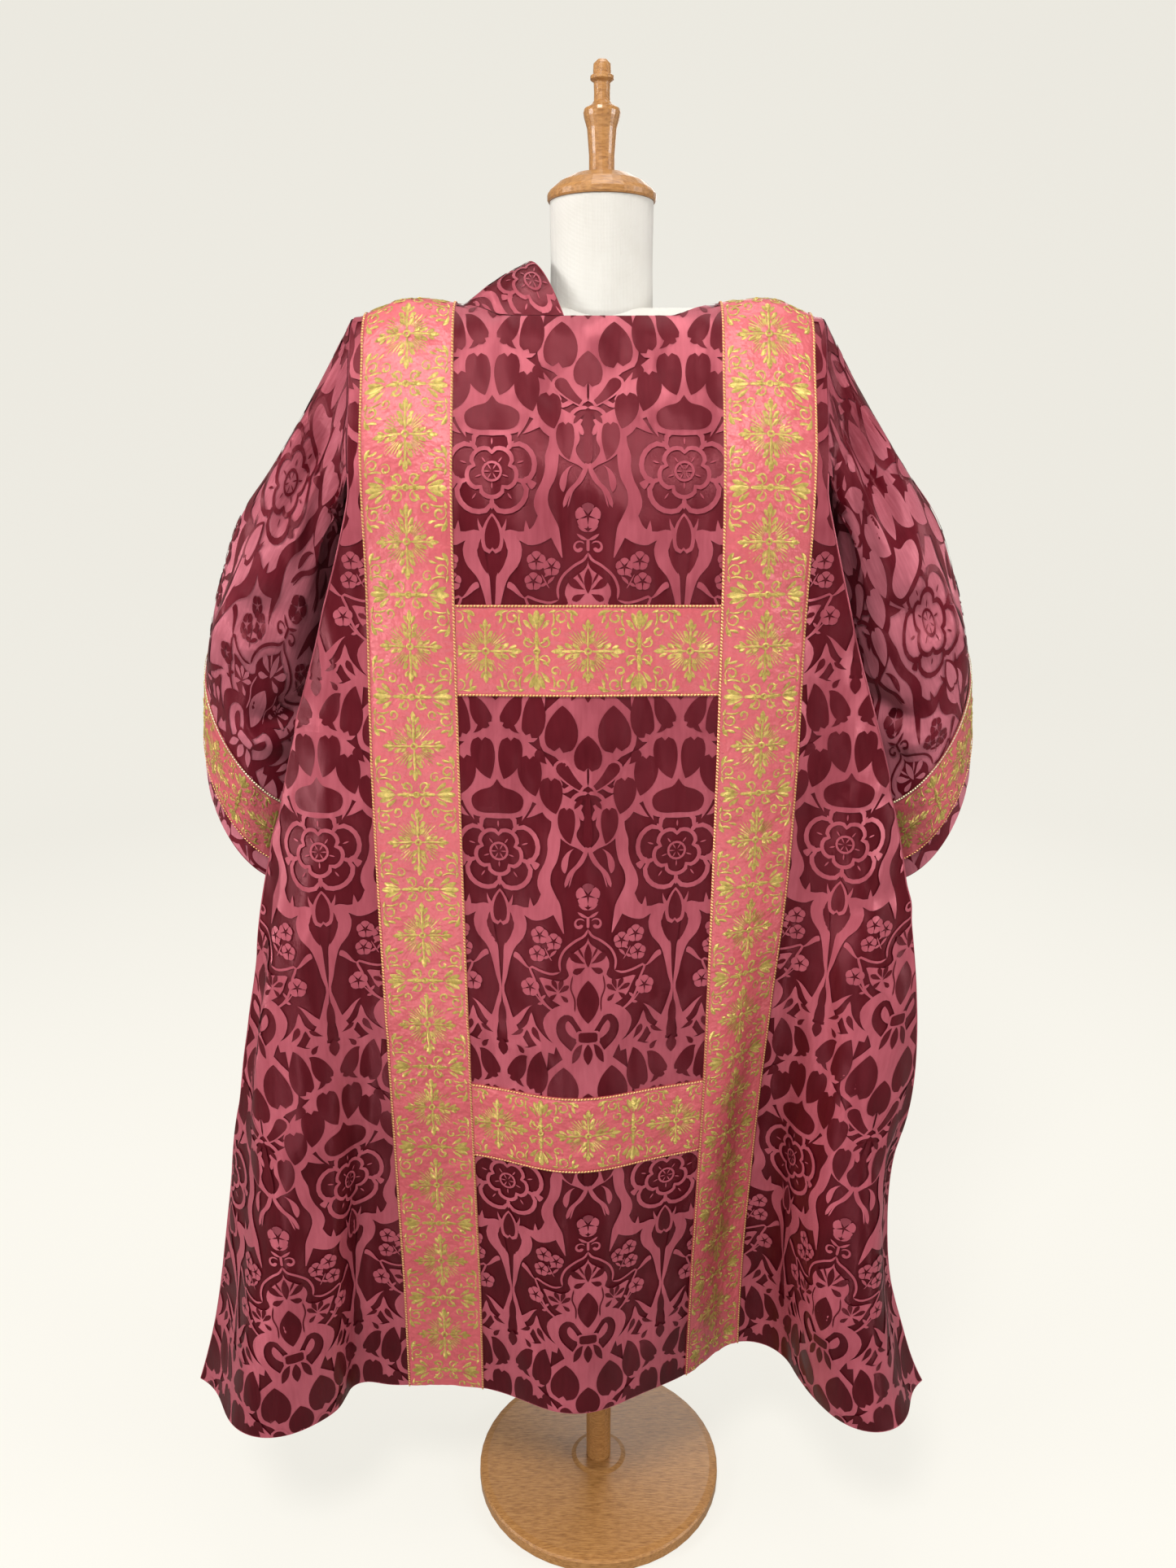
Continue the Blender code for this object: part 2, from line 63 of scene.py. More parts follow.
@dataclass(frozen=True)
class Cut:
    """The garment's cut and the way it stands, in metres."""

    band_width: float = 0.092
    band_inner: float = 0.1325
    band_outer: float = 0.2245
    seam_u: float = 0.2365
    body_length: float = 1.258
    armhole_depth: float = 0.190
    flare_start: float = 0.205
    flare: float = 0.313
    flare_ease: float = 0.02
    upper_bar_top: float = 0.322
    lower_bar_top: float = 0.843
    back_neck_drop: float = 0.030
    back_neck_flat: float = 0.0885
    front_neck_drop: float = 0.120
    front_neck_flat: float = 0.050
    flap_back_end: float = 0.024
    flap_front_end: float = 0.064
    ridge_height: float = 1.455
    shoulder_drop: float = 0.012
    shoulder_rise: float = 0.004
    shoulder_fade: float = 0.35
    axis: tuple[float, float, float] = (0.0113158, 0.0002228, 0.0)
    cloth: float = 0.0016
    band: float = 0.0012
    gap: float = 0.0003
    sunk: float = 0.0008

    def half_width(self, s: Array) -> Array:
        """The cloth's half-width at distance s: straight past the armhole, then flared to the hem."""
        past = np.maximum(np.asarray(s, float) - self.flare_start, 0.0)
        return self.seam_u + self.flare * past * past / (past + self.flare_ease)

    def neck_edge(self, u: Array, back: bool) -> Array:
        """The neckline at each column: level across the middle, then up to the ridge at the bands."""
        drop, flat = self.back_neck_drop, self.back_neck_flat
        if not back:
            drop, flat = self.front_neck_drop, self.front_neck_flat
        return drop * np.clip((self.band_inner - np.abs(u)) / (self.band_inner - flat), 0.0, 1.0)


CUT = Cut()


@dataclass(frozen=True)
class Fold:
    """One large fold: its crest and spread at the hem, how far it stands out, its start and its growth."""

    u: float
    spread: float
    out: float
    start: float
    power: float


@dataclass(frozen=True)
class Crease:
    """A soft crease: its middle (u, v), heading in degrees from u, length, width and depth."""

    u: float
    v: float
    heading: float
    length: float
    width: float
    depth: float


@dataclass(frozen=True)
class Stance:
    """The body's roundness and how its sides hang, in metres. A pair is a soft step's start and its run.

    wrap is the slope of the front's sides past wrap_start, and freed is how much of it each side loses
    towards the hem. narrow_fold is the share of its spread that a crest past the bands starts with.
    """

    belly_out: float = 0.020
    belly_down: float = 0.78
    belly_length: float = 0.20
    belly_width: float = 0.26
    side_fall: float = 0.030
    side_fall_down: tuple[float, float] = (0.10, 0.30)
    side_fall_edge: tuple[float, float] = (0.55, 0.45)
    wrap: float = 0.85
    wrap_start: float = 0.205
    wrap_ease: float = 0.012
    wrap_run: float = 0.15
    freed_left: float = 0.26
    freed_right: float = 0.10
    freed_down: tuple[float, float] = (0.80, 0.40)
    wing_shift: float = 0.046
    wing_across: tuple[float, float] = (0.28, 0.27)
    wing_down: tuple[float, float] = (0.72, 0.36)
    shoulder_start: float = 0.185
    shoulder_crest: float = 0.172
    shoulder_width: float = 0.032
    narrow_fold: float = 0.35
    least_step: float = 0.25


STANCE = Stance()
BACK_FOLDS = (
    Fold(-0.015, 0.089, 0.048, 0.240, 0.800),
    Fold(-0.427, 0.111, 0.096, 0.240, 0.800),
    Fold(-0.285, 0.031, -0.018, 0.497, 1.279),
    Fold(0.235, 0.085, -0.070, 0.240, 0.800),
    Fold(0.453, 0.095, 0.093, 0.240, 1.296),
)
FRONT_FOLDS = (
    Fold(0.020, 0.070, 0.036, 0.50, 1.0),
    Fold(-0.410, 0.056, 0.086, 0.50, 1.2),
    Fold(-0.245, 0.060, -0.034, 0.45, 1.0),
    Fold(0.250, 0.060, -0.030, 0.50, 1.0),
    Fold(0.400, 0.056, 0.094, 0.45, 1.2),
)
HEADING = {
    "distance": (0.00, 0.03, 0.06, 0.09, 0.13, 0.18, 0.26, 0.36, 0.50, 0.75, 1.30),
    "back": (0.0, 50.0, 70.0, 68.0, 64.0, 74.0, 87.0, 91.0, 90.5, 90.0, 90.0),
    "front": (0.0, 24.0, 38.0, 48.0, 62.0, 76.0, 87.0, 91.5, 91.0, 90.5, 90.0),
}
BODY_CREASES = (
    Crease(-0.178, 0.066, 20.0, 0.100, 0.010, -0.0026),
    Crease(0.178, 0.066, -20.0, 0.100, 0.010, -0.0026),
    Crease(-0.060, 0.130, 80.0, 0.150, 0.030, 0.0016),
    Crease(0.075, 0.150, 96.0, 0.170, 0.032, 0.0016),
    Crease(0.030, 0.560, 84.0, 0.260, 0.030, 0.0026),
    Crease(-0.090, 0.600, 98.0, 0.240, 0.026, -0.0022),
    Crease(0.110, 0.640, 88.0, 0.280, 0.026, -0.0024),
    Crease(-0.268, 0.330, 82.0, 0.240, 0.014, 0.0045),
    Crease(0.268, 0.330, 98.0, 0.240, 0.014, 0.0045),
    Crease(-0.300, 0.640, 103.0, 0.460, 0.018, 0.0042),
    Crease(0.305, 0.620, 76.0, 0.460, 0.018, 0.0042),
    Crease(-0.395, 0.800, 107.0, 0.500, 0.020, -0.0050),
    Crease(0.372, 0.850, 74.0, 0.480, 0.020, -0.0050),
    Crease(-0.250, 0.950, 95.0, 0.420, 0.022, -0.0040),
    Crease(0.290, 1.010, 84.0, 0.380, 0.018, 0.0040),
    Crease(0.060, 1.100, 88.0, 0.260, 0.026, -0.0034),
    Crease(-0.090, 1.110, 93.0, 0.250, 0.026, -0.0030),
    Crease(-0.330, 0.500, 99.0, 0.360, 0.016, -0.0052),
    Crease(-0.365, 0.760, 104.0, 0.420, 0.017, 0.0058),
    Crease(-0.455, 0.980, 108.0, 0.440, 0.020, 0.0052),
    Crease(-0.345, 1.060, 101.0, 0.360, 0.018, -0.0046),
    Crease(0.338, 0.480, 81.0, 0.340, 0.016, -0.0050),
    Crease(0.405, 0.980, 74.0, 0.420, 0.020, 0.0056),
    Crease(0.478, 1.020, 70.0, 0.400, 0.020, -0.0052),
    Crease(0.300, 0.800, 80.0, 0.320, 0.016, -0.0044),
    Crease(-0.285, 0.455, 30.0, 0.130, 0.015, 0.0034),
    Crease(-0.310, 0.560, 24.0, 0.120, 0.015, -0.0032),
    Crease(0.300, 0.520, -28.0, 0.130, 0.015, 0.0034),
    Crease(0.325, 0.640, -22.0, 0.120, 0.015, -0.0032),
    Crease(-0.030, 0.480, 12.0, 0.200, 0.016, -0.0024),
    Crease(0.070, 0.740, -16.0, 0.180, 0.015, 0.0026),
    Crease(-0.075, 0.785, 20.0, 0.160, 0.015, 0.0026),
    Crease(0.000, 0.720, 86.0, 0.260, 0.022, 0.0032),
    Crease(-0.100, 0.180, 60.0, 0.160, 0.018, -0.0020),
    Crease(0.030, 0.230, 30.0, 0.180, 0.018, 0.0018),
    Crease(-0.120, -0.420, 95.0, 0.400, 0.028, 0.0034),
    Crease(0.100, -0.520, 84.0, 0.420, 0.028, 0.0034),
    Crease(-0.330, -0.760, 80.0, 0.460, 0.022, 0.0048),
    Crease(0.320, -0.780, 101.0, 0.460, 0.022, 0.0048),
    Crease(0.010, -0.900, 90.0, 0.420, 0.026, -0.0036),
)


def smooth(t: Array) -> Array:
    """The soft step from 0 to 1 as t goes from 0 to 1."""
    t = np.clip(t, 0.0, 1.0)
    return t * t * (3.0 - 2.0 * t)


def ramp(value: Array, start_and_run: tuple[float, float]) -> Array:
    """The soft step that begins at the start and is full after the run."""
    start, run = start_and_run
    return smooth((value - start) / run)


def passed_along(line: Array) -> Array:
    """How far along a line each of its points lies: the sum of the steps before it."""
    return np.concatenate([[0.0], np.cumsum(np.linalg.norm(np.diff(line, axis=0), axis=1))])


def headings(line: Array, closed: bool) -> Array:
    """Unit directions of a line at its points, from each one's neighbours.

    Args:
        line: count by 2 points.
        closed: whether the last point is the first one.

    Returns:
        Count by 2 directions.
    """
    slope = np.gradient(line, axis=0)
    if closed:
        slope[0] = slope[-1] = line[1] - line[-2]
    return slope / np.maximum(np.linalg.norm(slope, axis=1, keepdims=True), 1e-9)


def to_the_side(slope: Array) -> Array:
    """The directions turned a quarter to the left."""
    return np.stack([-slope[:, 1], slope[:, 0]], axis=1)


def cells(number: Array) -> Array:
    """Four-cornered faces of a grid of point numbers, row after row."""
    corners = (number[:-1, :-1], number[1:, :-1], number[1:, 1:], number[:-1, 1:])
    return np.stack([c.reshape(-1) for c in corners], axis=1)


def creased(a: Array, b: Array, creases: Iterable[Crease]) -> Array:
    """How far the cloth stands out through its creases.

    Each one is a bell across its line, its depth fading to nothing towards both ends.

    Args:
        a: flat coordinate across.
        b: flat coordinate along.
        creases: the creases to add up.

    Returns:
        The sum of their heights, in metres.
    """
    out = np.zeros(np.broadcast(a, b).shape)
    for crease in creases:
        cos, sin = math.cos(math.radians(crease.heading)), math.sin(math.radians(crease.heading))
        along = (a - crease.u) * cos + (b - crease.v) * sin
        across = -(a - crease.u) * sin + (b - crease.v) * cos
        fade = smooth(1.0 - np.abs(along) / (crease.length / 2))
        out = out + crease.depth * fade * np.exp(-((across / crease.width) ** 2))
    return out


class Chart:
    """A surface sampled on an even grid of its two flat coordinates, with its outward normals."""

    def __init__(self, a: Array, b: Array, points: Array, outward: float = 1.0) -> None:
        """Keeps the samples and works out unit normals from their slopes.

        Args:
            a: even column coordinates.
            b: even row coordinates.
            points: rows by columns by 3 samples.
            outward: -1 where rows cross columns points inwards.
        """
        self.a, self.b, self.points = a, b, points
        normal = outward * np.cross(np.gradient(points, axis=0), np.gradient(points, axis=1))
        self.normals = normal / np.linalg.norm(normal, axis=-1, keepdims=True)

    def read(self, a: Array, b: Array, lift: Array | float = 0.0) -> Array:
        """Points over (a, b), read evenly between the samples and moved out by lift.

        Args:
            a: column coordinates.
            b: row coordinates of the same shape.
            lift: height above the surface, in metres.

        Returns:
            Points, with a last axis of 3.
        """
        x = np.clip((a - self.a[0]) / (self.a[1] - self.a[0]), 0, len(self.a) - 1.001)
        y = np.clip((b - self.b[0]) / (self.b[1] - self.b[0]), 0, len(self.b) - 1.001)
        i, j = x.astype(int), y.astype(int)
        x, y = (x - i)[..., None], (y - j)[..., None]
        lift = np.asarray(lift)[..., None]
        total = 0.0
        for right, across in ((0, 1 - x), (1, x)):
            for down, along in ((0, 1 - y), (1, y)):
                spot = (j + down, i + right)
                total = total + across * along * (self.points[spot] + lift * self.normals[spot])
        return total


def stand_out(u: Array, s: Array, back: bool) -> Array:
    """Folds, creases and the cloth's own roundness at (u, s).

    Each fold is a bell across u that grows towards the hem, and the crests past the bands fan out with the
    flare. The back falls away at its sides, and the front wraps round beneath the sleeves.

    Args:
        u: distance across from the centre line.
        s: distance down from the ridge.
        back: whether this is the back panel.

    Returns:
        Distance outwards, in metres.
    """
    out = creased(u, s if back else -s, BODY_CREASES)
    hem = CUT.half_width(CUT.body_length) - CUT.band_outer
    spread_share = (CUT.half_width(s) - CUT.band_outer) / hem
    for fold in BACK_FOLDS if back else FRONT_FOLDS:
        beyond = max(abs(fold.u) - CUT.band_outer, 0.0)
        crest = math.copysign(1.0, fold.u) * (abs(fold.u) - beyond * (1.0 - spread_share))
        narrow = STANCE.narrow_fold
        spread = fold.spread * (narrow + (1.0 - narrow) * spread_share if beyond else 1.0)
        grown = smooth((s - fold.start) / (CUT.body_length - fold.start)) ** fold.power
        out = out + fold.out * grown * np.exp(-(((u - crest) / spread) ** 2))
    belly = np.exp(-(((s - STANCE.belly_down) / STANCE.belly_length) ** 2))
    out = out + STANCE.belly_out * belly * np.exp(-((u / STANCE.belly_width) ** 2))
    if back:
        edge = np.abs(u) / CUT.half_width(s)
        return out - STANCE.side_fall * ramp(s, STANCE.side_fall_down) * ramp(edge, STANCE.side_fall_edge)
    freed = np.where(u > 0, STANCE.freed_right, STANCE.freed_left)
    wrapped = ramp(s, (CUT.armhole_depth, STANCE.wrap_run)) * (1.0 - freed * ramp(s, STANCE.freed_down))
    beyond_u = np.maximum(np.abs(u) - STANCE.wrap_start, 0.0)
    return out - STANCE.wrap * wrapped * beyond_u**2 / (beyond_u + STANCE.wrap_ease)


def added_up(slopes: Array, step: float) -> Array:
    """The running sum of slopes at even steps, each step taken at the mean of its ends."""
    return np.concatenate([[0.0], np.cumsum((slopes[1:] + slopes[:-1]) / 2 * step)])


def draped_body() -> Chart:
    """Both panels as one surface over the ridge.

    The cloth's heading, added up, gives how far out and down each row lies. The folds stand out from it and
    draw x in, so that each row keeps its flat width. The front's right wing is shifted in near the hem.

    Returns:
        The chart over (u, v).
    """
    u = np.linspace(-0.575, 0.575, 461)
    v = np.linspace(-1.260, 1.260, 841)
    step = u[1] - u[0]
    fine = np.linspace(0.0, 1.30, 1301)
    points = np.zeros((len(v), len(u), 3))
    for back in (True, False):
        rows = v >= 0 if back else v < 0
        s = np.abs(v[rows])
        heading = np.radians(np.interp(fine, HEADING["distance"], HEADING["back" if back else "front"]))
        run, drop = added_up(np.cos(heading), fine[1]), added_up(np.sin(heading), fine[1])
        out = stand_out(u[None, :], s[:, None], back)
        least = (STANCE.least_step * step) ** 2
        drawn_in = np.sqrt(np.maximum(step**2 - np.diff(out, axis=1) ** 2, least))
        x = np.concatenate([np.zeros((len(s), 1)), np.cumsum(drawn_in, axis=1)], axis=1)
        x -= x[:, len(u) // 2][:, None]
        fall = (STANCE.shoulder_start, CUT.seam_u - STANCE.shoulder_start)
        crest = np.exp(-(((np.abs(u) - STANCE.shoulder_crest) / STANCE.shoulder_width) ** 2))
        shoulder = CUT.shoulder_drop * ramp(np.abs(u), fall) - CUT.shoulder_rise * crest
        fade = 1.0 - smooth(s / CUT.shoulder_fade)
        outward = np.interp(s, fine, run)[:, None] + out
        if not back:
            shift = STANCE.wing_shift * ramp(u, STANCE.wing_across)
            x = x - shift * ramp(s, STANCE.wing_down)[:, None]
        points[rows, :, 0] = x
        points[rows, :, 1] = -outward if back else outward
        points[rows, :, 2] = CUT.ridge_height - np.interp(s, fine, drop)[:, None] - fade[:, None] * shoulder
    return Chart(u, v, points + np.array(CUT.axis), outward=1.0)


# Patches: figures in flat coordinates


@dataclass
class Patch:
    """Points in flat coordinates with heights, faces, a finish number a face and a map for the thread."""

    flat: Array
    height: Array
    faces: Array
    tone: Array
    thread: Array

    def moved(self, places: Array, turn: float = 0.0, grow: float = 1.0) -> "Patch":
        """Copies laid at the given places.

        Args:
            places: count by 2 offsets, in metres.
            turn: a turn in radians about the patch's own origin first.
            grow: a scale before that.

        Returns:
            One patch with all copies.
        """
        cos, sin = math.cos(turn), math.sin(turn)
        turned = grow * self.flat @ np.array([[cos, sin], [-sin, cos]])
        count, size = len(places), len(self.flat)
        flat = (turned[None] + np.asarray(places)[:, None]).reshape(-1, 2)
        faces = (self.faces[None] + size * np.arange(count)[:, None, None]).reshape(-1, 4)
        height, tone = np.tile(self.height, count), np.tile(self.tone, count)
        return Patch(flat, height, faces, tone, np.tile(self.thread, (count, 1)))

    def mirrored(self, axis: int) -> "Patch":
        """The patch turned over about one flat axis, with its faces wound back."""
        flat = self.flat.copy()
        flat[:, axis] *= -1.0
        return replace(self, flat=flat, faces=self.faces[:, ::-1])


def joined(patches: Sequence[Patch]) -> Patch:
    """One patch from several."""
    sizes = np.cumsum([0] + [len(p.flat) for p in patches[:-1]])
    return Patch(
        np.concatenate([p.flat for p in patches]),
        np.concatenate([p.height for p in patches]),
        np.concatenate([p.faces + size for p, size in zip(patches, sizes)]),
        np.concatenate([p.tone for p in patches]),
        np.concatenate([p.thread for p in patches]),
    )


class Width(Enum):
    """How a stroke's width runs from its start to its end."""

    LEAF = "leaf"
    HEART = "heart"
    PETAL = "petal"
    TONGUE = "tongue"
    BRANCH = "branch"
    THORN = "thorn"
    STEM = "stem"

    def profile(self, t: Array) -> Array:
        """Share of the full width at t, from 0 at the start to 1 at the end."""
        round_ends = np.clip(1.0 - np.abs(2.0 * t - 1.0) ** 10, 0.0, 1.0) ** 0.5
        round_tip = np.clip(1.0 - np.maximum((t - 0.72) / 0.28, 0.0) ** 2, 0, 1) ** 0.5
        return {
            Width.LEAF: np.sin(math.pi * t) ** 0.85,
            Width.HEART: np.where(
                t < 0.3,
                0.55 + 0.45 * np.clip(1.0 - (1.0 - t / 0.3) ** 2, 0.0, 1.0) ** 0.5,
                np.clip((1.0 - t) / 0.7, 0.0, 1.0) ** 0.9 * (1.0 + 0.9 * (t - 0.3) / 0.7),
            ),
            Width.PETAL: np.sin(math.pi * t**1.75) ** 0.7,
            Width.TONGUE: (0.35 + 0.65 * t) * round_tip,
            Width.BRANCH: round_ends,
            Width.THORN: (1.0 - t**1.3) * round_ends**0.5,
            Width.STEM: (0.55 + 0.45 * np.sin(math.pi * t)) * round_ends,
        }[self]


class Tone(Enum):
    """Which finish a figure is woven in."""

    FIGURE = 0
    GROUND = 1


THIN = 0.0051
NOTCH = 0.15
NOTCH_REACH = 0.3


def ribbon(
    line: Array,
    width: Array,
    rise: float,
    tone: int,
    layer: float,
    closed: bool = False,
    notch: float = 0.0,
) -> Patch:
    """A strip along a line: three points wide, two where flat and thin, five where its start is notched.

    Its rims lie at the layer's height and its middle stands rise above them. The thread map runs along and
    across. A notch shifts the points of each row along the strip, and fades out along it.

    Args:
        line: count by 2 points, in metres.
        width: full width at each point.
        rise: height of the middle over the rims.
        tone: finish number of its faces.
        layer: height of the rims over the cloth.
        closed: whether the last point is the first one.
        notch: how far the lobes of a heart reach back over the start, as a share of the full width.

    Returns:
        The strip as a patch.
    """
    slope = headings(line, closed)
    side = to_the_side(slope) * width[:, None] / 2
    passed = passed_along(line)
    thin = rise == 0.0 and width.max() < THIN
    across = np.linspace(-1.0, 1.0, 5 if notch else 2 if thin else 3)
    lobe = notch * width.max() * (np.sin(math.pi * np.abs(across)) + 0.55 * (np.abs(across) > 0.9))
    fade = np.clip(1.0 - passed / max(NOTCH_REACH * passed[-1], 1e-9), 0.0, 1.0)
    flat = line[:, None] + side[:, None] * across[None, :, None]
    flat = flat - (fade[:, None] * lobe)[..., None] * slope[:, None]
    share = width / max(width.max(), 1e-9)
    height = (rise * share[:, None] * (1.0 - np.abs(across))).reshape(-1) + layer
    count = len(across)
    thread = np.stack([np.repeat(passed, count), (width[:, None] / 2 * across).reshape(-1)], axis=1)
    faces = cells(np.arange(len(line) * count).reshape(-1, count))
    return Patch(flat.reshape(-1, 2), height, faces, np.full(len(faces), tone), thread)


RIM_STEP = 0.00011
BROAD_RIM_STEP = 0.00024
BROAD = 20.0


@dataclass(frozen=True)
class Stroke:
    """A shape drawn from one point to another: both ends, how it leaves and arrives, its width and kind.

    Lengths are in millimetres, x across and y down. The angles are in degrees from the straight line
    between its ends. rim, where given, is a border of the other tone round it.
    """

    x0: float
    y0: float
    x1: float
    y1: float
    width: float
    kind: Width = Width.LEAF
    leave: float = 0.0
    arrive: float = 0.0
    tone: Tone = Tone.FIGURE
    rim: float = 0.0

    def line(self, steps: int, reach: float = 0.0) -> Array:
        """A cubic through both ends, as points in metres; reach moves both ends outwards along it."""
        start, end = np.array([self.x0, self.y0]), np.array([self.x1, self.y1])
        chord = end - start
        length = np.linalg.norm(chord)

        def turned(degrees: float) -> Array:
            """The chord's direction, turned."""
            cos, sin = math.cos(math.radians(degrees)), math.sin(math.radians(degrees))
            return np.array([chord[0] * cos - chord[1] * sin, chord[0] * sin + chord[1] * cos]) / length

        leaving, arriving = turned(self.leave), turned(-self.arrive)
        start, end = start - reach * leaving, end + reach * arriving
        t = np.linspace(0.0, 1.0, steps)[:, None]
        first, second = start + leaving * length / 3, end - arriving * length / 3
        near = (1 - t) ** 3 * start + 3 * t * (1 - t) ** 2 * first
        return (near + 3 * t * t * (1 - t) * second + t**3 * end) * MM

    def patches(self, layer: float, rise: float = 0.0, steps: int = 0) -> list[Patch]:
        """The stroke's strips: its rim's first, then its own a little higher.

        Args:
            layer: height of the lowest strip.
            rise: height of each strip's middle over its rims.
            steps: how many points along it; 0 takes more for longer, wider and more bent strokes.

        Returns:
            One or two strips.
        """
        length = math.dist((self.x0, self.y0), (self.x1, self.y1))
        bend = abs(self.leave) + abs(self.arrive)
        steps = steps or int(np.clip(3.6 + length / 6 + bend / 20 + self.width / 7, 5, 14))
        ease = (1 - np.cos(np.linspace(0, math.pi, steps))) / 2
        notch = NOTCH if self.kind is Width.HEART else 0.0
        made = []
        if self.rim:
            other = 1 - self.tone.value
            line = resampled(self.line(3 * steps, 0.8 * self.rim), ease)
            width = (self.width + 2 * self.rim) * MM * self.kind.profile(ease)
            made.append(ribbon(line, width, 0.0, other, layer, notch=notch))
            layer = layer + (RIM_STEP if self.width < BROAD else BROAD_RIM_STEP)
        line = resampled(self.line(3 * steps), ease)
        width = self.width * MM * self.kind.profile(ease)
        made.append(ribbon(line, width, rise, self.tone.value, layer, notch=notch))
        return made

    @property
    def centred(self) -> bool:
        """Whether it is its own mirror image about an axis of the repeat."""
        return self.x0 == self.x1 and self.x0 in (0.0, HALF_REPEAT)


def resampled(line: Array, shares: Array) -> Array:
    """A line's points at the given shares of its length."""
    passed = passed_along(line)
    return np.stack([np.interp(shares * passed[-1], passed, line[:, k]) for k in range(2)], axis=1)


def through(points: Points, steps: int) -> Array:
    """A smooth line through points in mm, as steps points in metres.

    Between two points it is a cubic; its slope at each is half the way from one neighbour to the other.
    """
    p = np.asarray(points, float)
    p = np.vstack([2 * p[0] - p[1], p, 2 * p[-1] - p[-2]])
    spot = np.linspace(0.0, len(points) - 1.0, steps)
    k = np.minimum(spot.astype(int), len(points) - 2)
    t = (spot - k)[:, None]
    a, b, c, d = p[k], p[k + 1], p[k + 2], p[k + 3]
    bent = 2 * b + (c - a) * t + (2 * a - 5 * b + 4 * c - d) * t**2
    return 0.5 * MM * (bent + (3 * b - a - 3 * c + d) * t**3)


ROWS_A_POINT = 2.6
COLUMN_WIDTH = 0.008


@dataclass(frozen=True)
class Field:
    """A shape between two smooth edges that run the same way, each through points in mm."""

    first: Points
    second: Points
    tone: Tone = Tone.FIGURE

    def patches(self, layer: float) -> list[Patch]:
        """Rows run evenly from edge to edge; each is cut into columns of an even width."""
        steps = round(ROWS_A_POINT * max(len(self.first), len(self.second)))
        shares = np.linspace(0.0, 1.0, steps)
        a, b = (resampled(through(edge, 4 * steps), shares) for edge in (self.first, self.second))
        count = int(np.clip(np.linalg.norm(a - b, axis=1).max() / COLUMN_WIDTH, 1, 6)) + 1
        cut = np.linspace(0.0, 1.0, count)[None, :, None]
        flat = a[:, None] * (1 - cut) + b[:, None] * cut
        faces = cells(np.arange(steps * count).reshape(steps, count))
        flat = flat.reshape(-1, 2)
        return [Patch(flat, np.full(len(flat), layer), faces, np.full(len(faces), self.tone.value), flat)]


@dataclass(frozen=True)
class Line:
    """A thin line of even width through points in mm."""

    points: Points
    width: float
    tone: Tone = Tone.FIGURE

    def patches(self, layer: float) -> list[Patch]:
        """The line's strip, its ends rounded."""
        steps = 3 * len(self.points)
        shares = np.linspace(0.0, 1.0, steps)
        line = resampled(through(self.points, 4 * steps), shares)
        width = self.width * MM * Width.BRANCH.profile(shares)
        return [ribbon(line, width, 0.0, self.tone.value, layer)]


@dataclass(frozen=True)
class Scroll:
    """A spiral: centre, outer radius and width in mm, and its start and whole turn in degrees."""

    x: float
    y: float
    radius: float
    start: float
    sweep: float
    width: float

    def patches(self, layer: float, rise: float = 0.0) -> list[Patch]:
        """The spiral's strip: its radius shrinks evenly to a third, and its end swells to a bead."""
        t = np.linspace(0.0, 1.0, 15)
        turn = np.radians(self.start + self.sweep * t)
        radius = self.radius * (1.0 - 0.72 * t)
        line = np.stack([self.x + radius * np.cos(turn), self.y + radius * np.sin(turn)], axis=1) * MM
        round_ends = np.clip(1.0 - np.abs(2 * t - 1) ** 14, 0, 1) ** 0.5
        width = self.width * MM * (0.45 + 0.9 * smooth(t)) * round_ends
        return [ribbon(line, width, rise, Tone.FIGURE.value, layer)]


@dataclass(frozen=True)
class Ring:
    """A closed ribbon round a centre, scalloped into petals; lengths in mm."""

    x: float
    y: float
    radius: float
    petals: int
    scallop: float
    width: float
    turn: float = 0.0
    tone: Tone = Tone.FIGURE

    def patches(self, layer: float, rise: float = 0.0) -> list[Patch]:
        """Its radius swells to full at each petal's middle and drops to a notch between petals."""
        count = 8 * self.petals + 1 if self.petals else 17
        turn = np.linspace(0.0, 2 * math.pi, count)
        swell = np.abs(np.cos(self.petals * turn / 2)) ** 0.55 if self.petals else np.ones(count)
        radius = self.radius * (1 - self.scallop + self.scallop * swell)
        facing = turn + math.radians(self.turn - 90)
        line = np.stack([self.x + radius * np.cos(facing), self.y + radius * np.sin(facing)], axis=1) * MM
        return [ribbon(line, np.full(count, self.width * MM), rise, self.tone.value, layer, closed=True)]


def spoke(
    centre: tuple[float, float], degrees: float, inner: float, outer: float, width: float, kind: Width
) -> Stroke:
    """A stroke that points away from a centre, from its inner to its outer radius.

    Args:
        centre: x and y, in mm.
        degrees: which way it points, clockwise from +x.
        inner: how far from the centre it starts, in mm.
        outer: how far from the centre it ends, in mm.
        width: its full width, in mm.
        kind: how its width runs.

    Returns:
        The stroke.
    """
    x, y = centre
    cos, sin = math.cos(math.radians(degrees)), math.sin(math.radians(degrees))
    return Stroke(x + inner * cos, y + inner * sin, x + outer * cos, y + outer * sin, width, kind)


def blossom(x: float, y: float, radius: float, width: float) -> list[Stroke]:
    """Five petals round a small centre, the first one upwards, as strokes from the middle outwards."""
    return [spoke((x, y), -90 + 72 * k, 1.6, radius, width, Width.PETAL) for k in range(5)]


# The damask's repeat, charted

HALF_REPEAT = 94.0
REPEAT_WIDTH = 2 * HALF_REPEAT * MM
REPEAT_HEIGHT = 384.0 * MM
ROSE = (HALF_REPEAT, 163.0)
GROUND, FIGURE = Tone.GROUND, Tone.FIGURE

